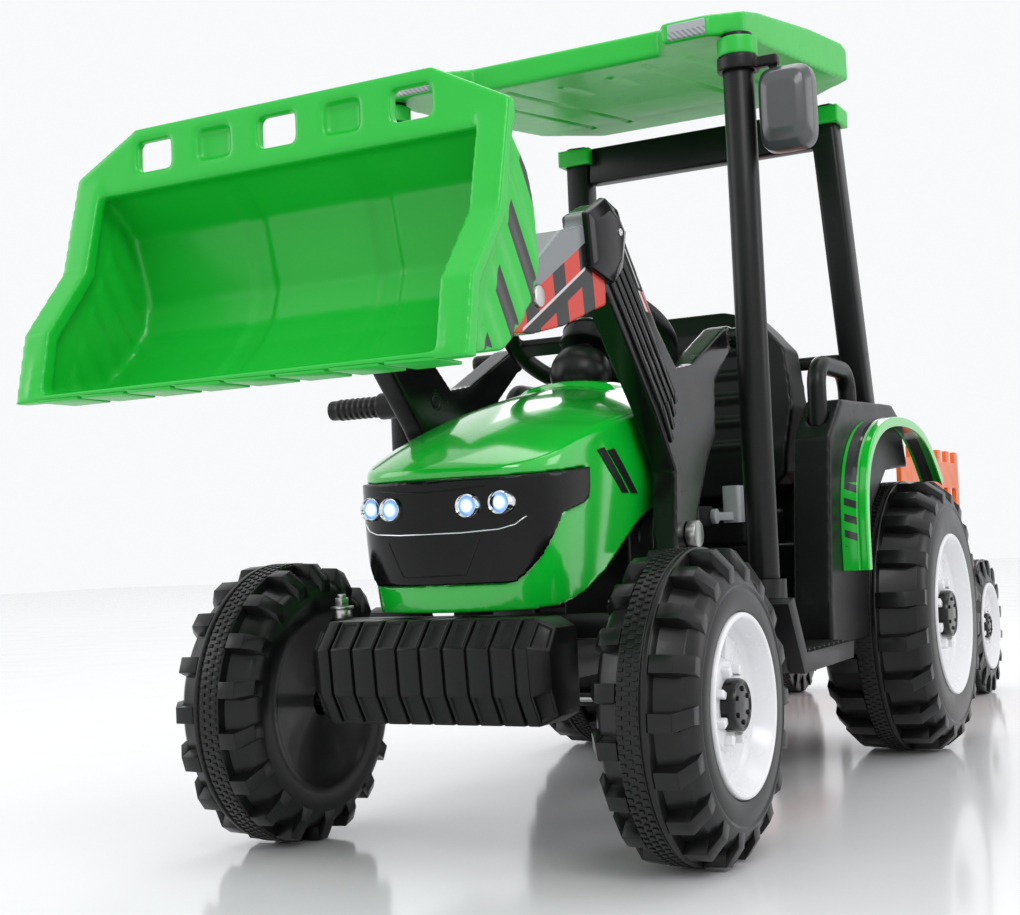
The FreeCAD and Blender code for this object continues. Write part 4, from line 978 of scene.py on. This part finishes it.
# The groove along the upper arm is only painted: a black band as painted shade in the recess, and a light line
# along its upper edge as a painted highlight.
slot_run = arm_finish.band(y, -0.172, -0.034, 0.0008)
slot_painted_shade = arm_finish.band(above_slope, 0.581, 0.594, 0.0006) * slot_run
slot_painted_highlight = arm_finish.band(above_slope, 0.594, 0.597, 0.0004) * slot_run
painted = arm_finish.mix(slot_painted_shade, painted, (0.004, 0.004, 0.004, 1))
painted = arm_finish.mix(slot_painted_highlight, painted, (0.55, 0.55, 0.55, 1))
outer_side = abs(x) > 0.1335
color = arm_finish.mix(upper * outer_side, arm_finish.color, painted)
from_back = (y - 0.057) * -0.737 + (z - 0.633) * -0.676
edge_line = arm_finish.band(from_back, 0.007, 0.0095, 0.0004) * arm_finish.band(z, 0.575, 0.612)
dashes = ((z + y) * 90).fraction() > 0.5
tag = arm_finish.band(from_back, 0.004, 0.013, 0.0004) * arm_finish.band(z, 0.552, 0.572)
color = arm_finish.mix(edge_line * outer_side, color, (0.5, 0.5, 0.5, 1))
color = arm_finish.mix(tag * outer_side, color, arm_finish.mix(dashes, (0.6, 0.6, 0.6, 1), (0.5, 0.02, 0.01, 1)))
arm_finish.feed("Base Color", color)
rib_half_width = 4.4
cap_outline = [(-29, 578), (-36, 632), (8, 655), (38, 648), (60, 630), (46, 586), (22, 568)]
cap_y, cap_z = 12, 612
for side in (-1, 1):
    word = word_of(side)
    moulded("loader_arm_" + word, "arm_box_" + word, arm_finish, 2.1, 4)
    verts, faces = [], []
    low, high = sorted((side * 157, side * 160.6))
    for row in range(4):
        inset = 15 + row * 13.5
        top = (-14 + inset * 0.72, 594 + inset * 0.60)
        knee = (129 + inset * 0.9, 447 + inset * 0.38)
        foot = (knee[0] + 26 - row * 7, knee[1] - 36 + row * 9)
        for (ya, za), (yb, zb) in ((top, knee), (knee, foot)):
            length = math.hypot(yb - ya, zb - za)
            ny, nz = -(zb - za) / length * rib_half_width, (yb - ya) / length * rib_half_width
            bar = [(ya - ny, za - nz), (yb - ny, zb - nz), (yb + ny, zb + nz), (ya + ny, za + nz)]
            slab(bar, low, high, verts, faces)
    ribs = object_of("arm_ribs_" + word, verts, faces, arm_finish, "loader")
    completed(ribs, bevel(1.1, 2, 30))
    verts, faces = [], []
    for out, grow in ((157, 1.0), (164, 0.97), (168, 0.66)):
        verts += [(side * out, cap_y + (y - cap_y) * grow, cap_z + (z - cap_z) * grow) for y, z in cap_outline]
    count = len(cap_outline)
    for level in range(2):
        for index in range(count):
            after = (index + 1) % count
            here = level * count
            faces.append((here + index, here + after, here + count + after, here + count + index)[::side])
    faces.append(tuple(range(2 * count, 3 * count))[::side])
    faces.append(tuple(range(count))[::-side])
    cap = object_of("elbow_cap_" + word, verts, faces, black_gloss, "loader")
    completed(cap, bevel(1.6, 3, 16), 34)
    if side > 0:
        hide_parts("elbow_covers")
    verts, faces = [], []
    turned([(166, 0.3), (166, 4), (169, 4), (170, 3), (170, 1.2), (168.6, 0.3)], (32, 622), 20, verts, faces, side)
    screw = object_of("elbow_screw_" + word, verts, faces, zinc, "loader")
    smooth(screw, 36)
eased("arm_cross_tube", "cross_tube", zinc, 0.8)
grip = moulded("tilt_handle", "tilt_grip", plastic_black, 1.4, 3)
ridged(grip, [-214 - 8 * index for index in range(7)], 0, 4, 1.2, lambda place: place[0] < -208)

# ---- Bucket
# A satin green moulded bucket: three windows and two blind pockets in the top band, soft channels
# below the pockets, diagonal ribs inside the side walls, black slanted stripes outside, and teeth.
bucket_green = moulded_finish("bucket_green", (0.004, 0.46, 0.030, 1), 0.36, 0.06, coat=0.1, tone=0.07)
lip_y = box_of("bucket_shell")[1][0]
floor_z, stripe_slant, rim_slant = 453, 0.66, 0.44
channel_x, channel_half = 68, 15
x, y, z = bucket_green.axes()
outside = abs(x) > 0.2123
run = (y - axle_y) + (z - floor_z * MM) * stripe_slant
wave = (run * 15.9 + 0.15).fraction() > 0.6
clear_of_rim = ((y - (axle_y + lip_y * MM)) - (z - floor_z * MM) * rim_slant) > 0.052
below_band = z < 0.640
stripes = outside * wave * clear_of_rim * below_band
bucket_green.feed("Base Color", bucket_green.mix(stripes, bucket_green.color, (0.012, 0.014, 0.013, 1)))
bucket = moulded("bucket_shell", "bucket_tub", bucket_green, 2.6, 9)
for vert in bucket.data.vertices:
    px, py, pz = vert.co.x / MM, (vert.co.y - axle_y) / MM, vert.co.z / MM
    if pz < 652 and abs(px) < 200 and py > lip_y + 60:
        reach = abs(abs(px) - channel_x) / channel_half
        if reach < 1:
            fade = min(1, (652 - pz) / 20, (py - lip_y - 60) / 30)
            vert.co.y += 3.5 * fade * min(1, 2.2 * (1 - reach)) * MM
    if abs(px) > 205 and pz < 640 and py - lip_y - (pz - floor_z) * rim_slant > 40:
        phase = ((py + (pz - floor_z) * stripe_slant) / 31.5) % 1
        ridge = 0.5 - 0.5 * math.cos(2 * math.pi * phase)
        vert.co.x -= math.copysign(1.6 * ridge, px) * MM
bucket.data.update()
eased("bucket_brackets", "bucket_ears", plastic_black, 1.2)
verts, faces = [], []
tooth_count, lip_width = 8, 410
for index in range(tooth_count):
    middle = -lip_width / 2 + (index + 0.5) * lip_width / tooth_count
    hexa([(middle + a, lip_y + b, z) for z in (451.6, 454.4)
          for a, b in ((-24, 1.0), (22, 2.0), (20, 46), (-22, 46))], verts, faces)
teeth = object_of("bucket_teeth", verts, faces, green_satin, "bucket")
completed(teeth, bevel(1.0, 2, 30))

# ---- Trailer
# An orange moulded tray with a picket fence along each side, on a steel drawbar and axle.
orange = moulded_finish("orange_plastic", (0.72, 0.13, 0.018, 1), 0.36, 0.06, coat=0.1, tone=0.07)
eased("trailer_bed", "trailer_tray", orange, 3.5)
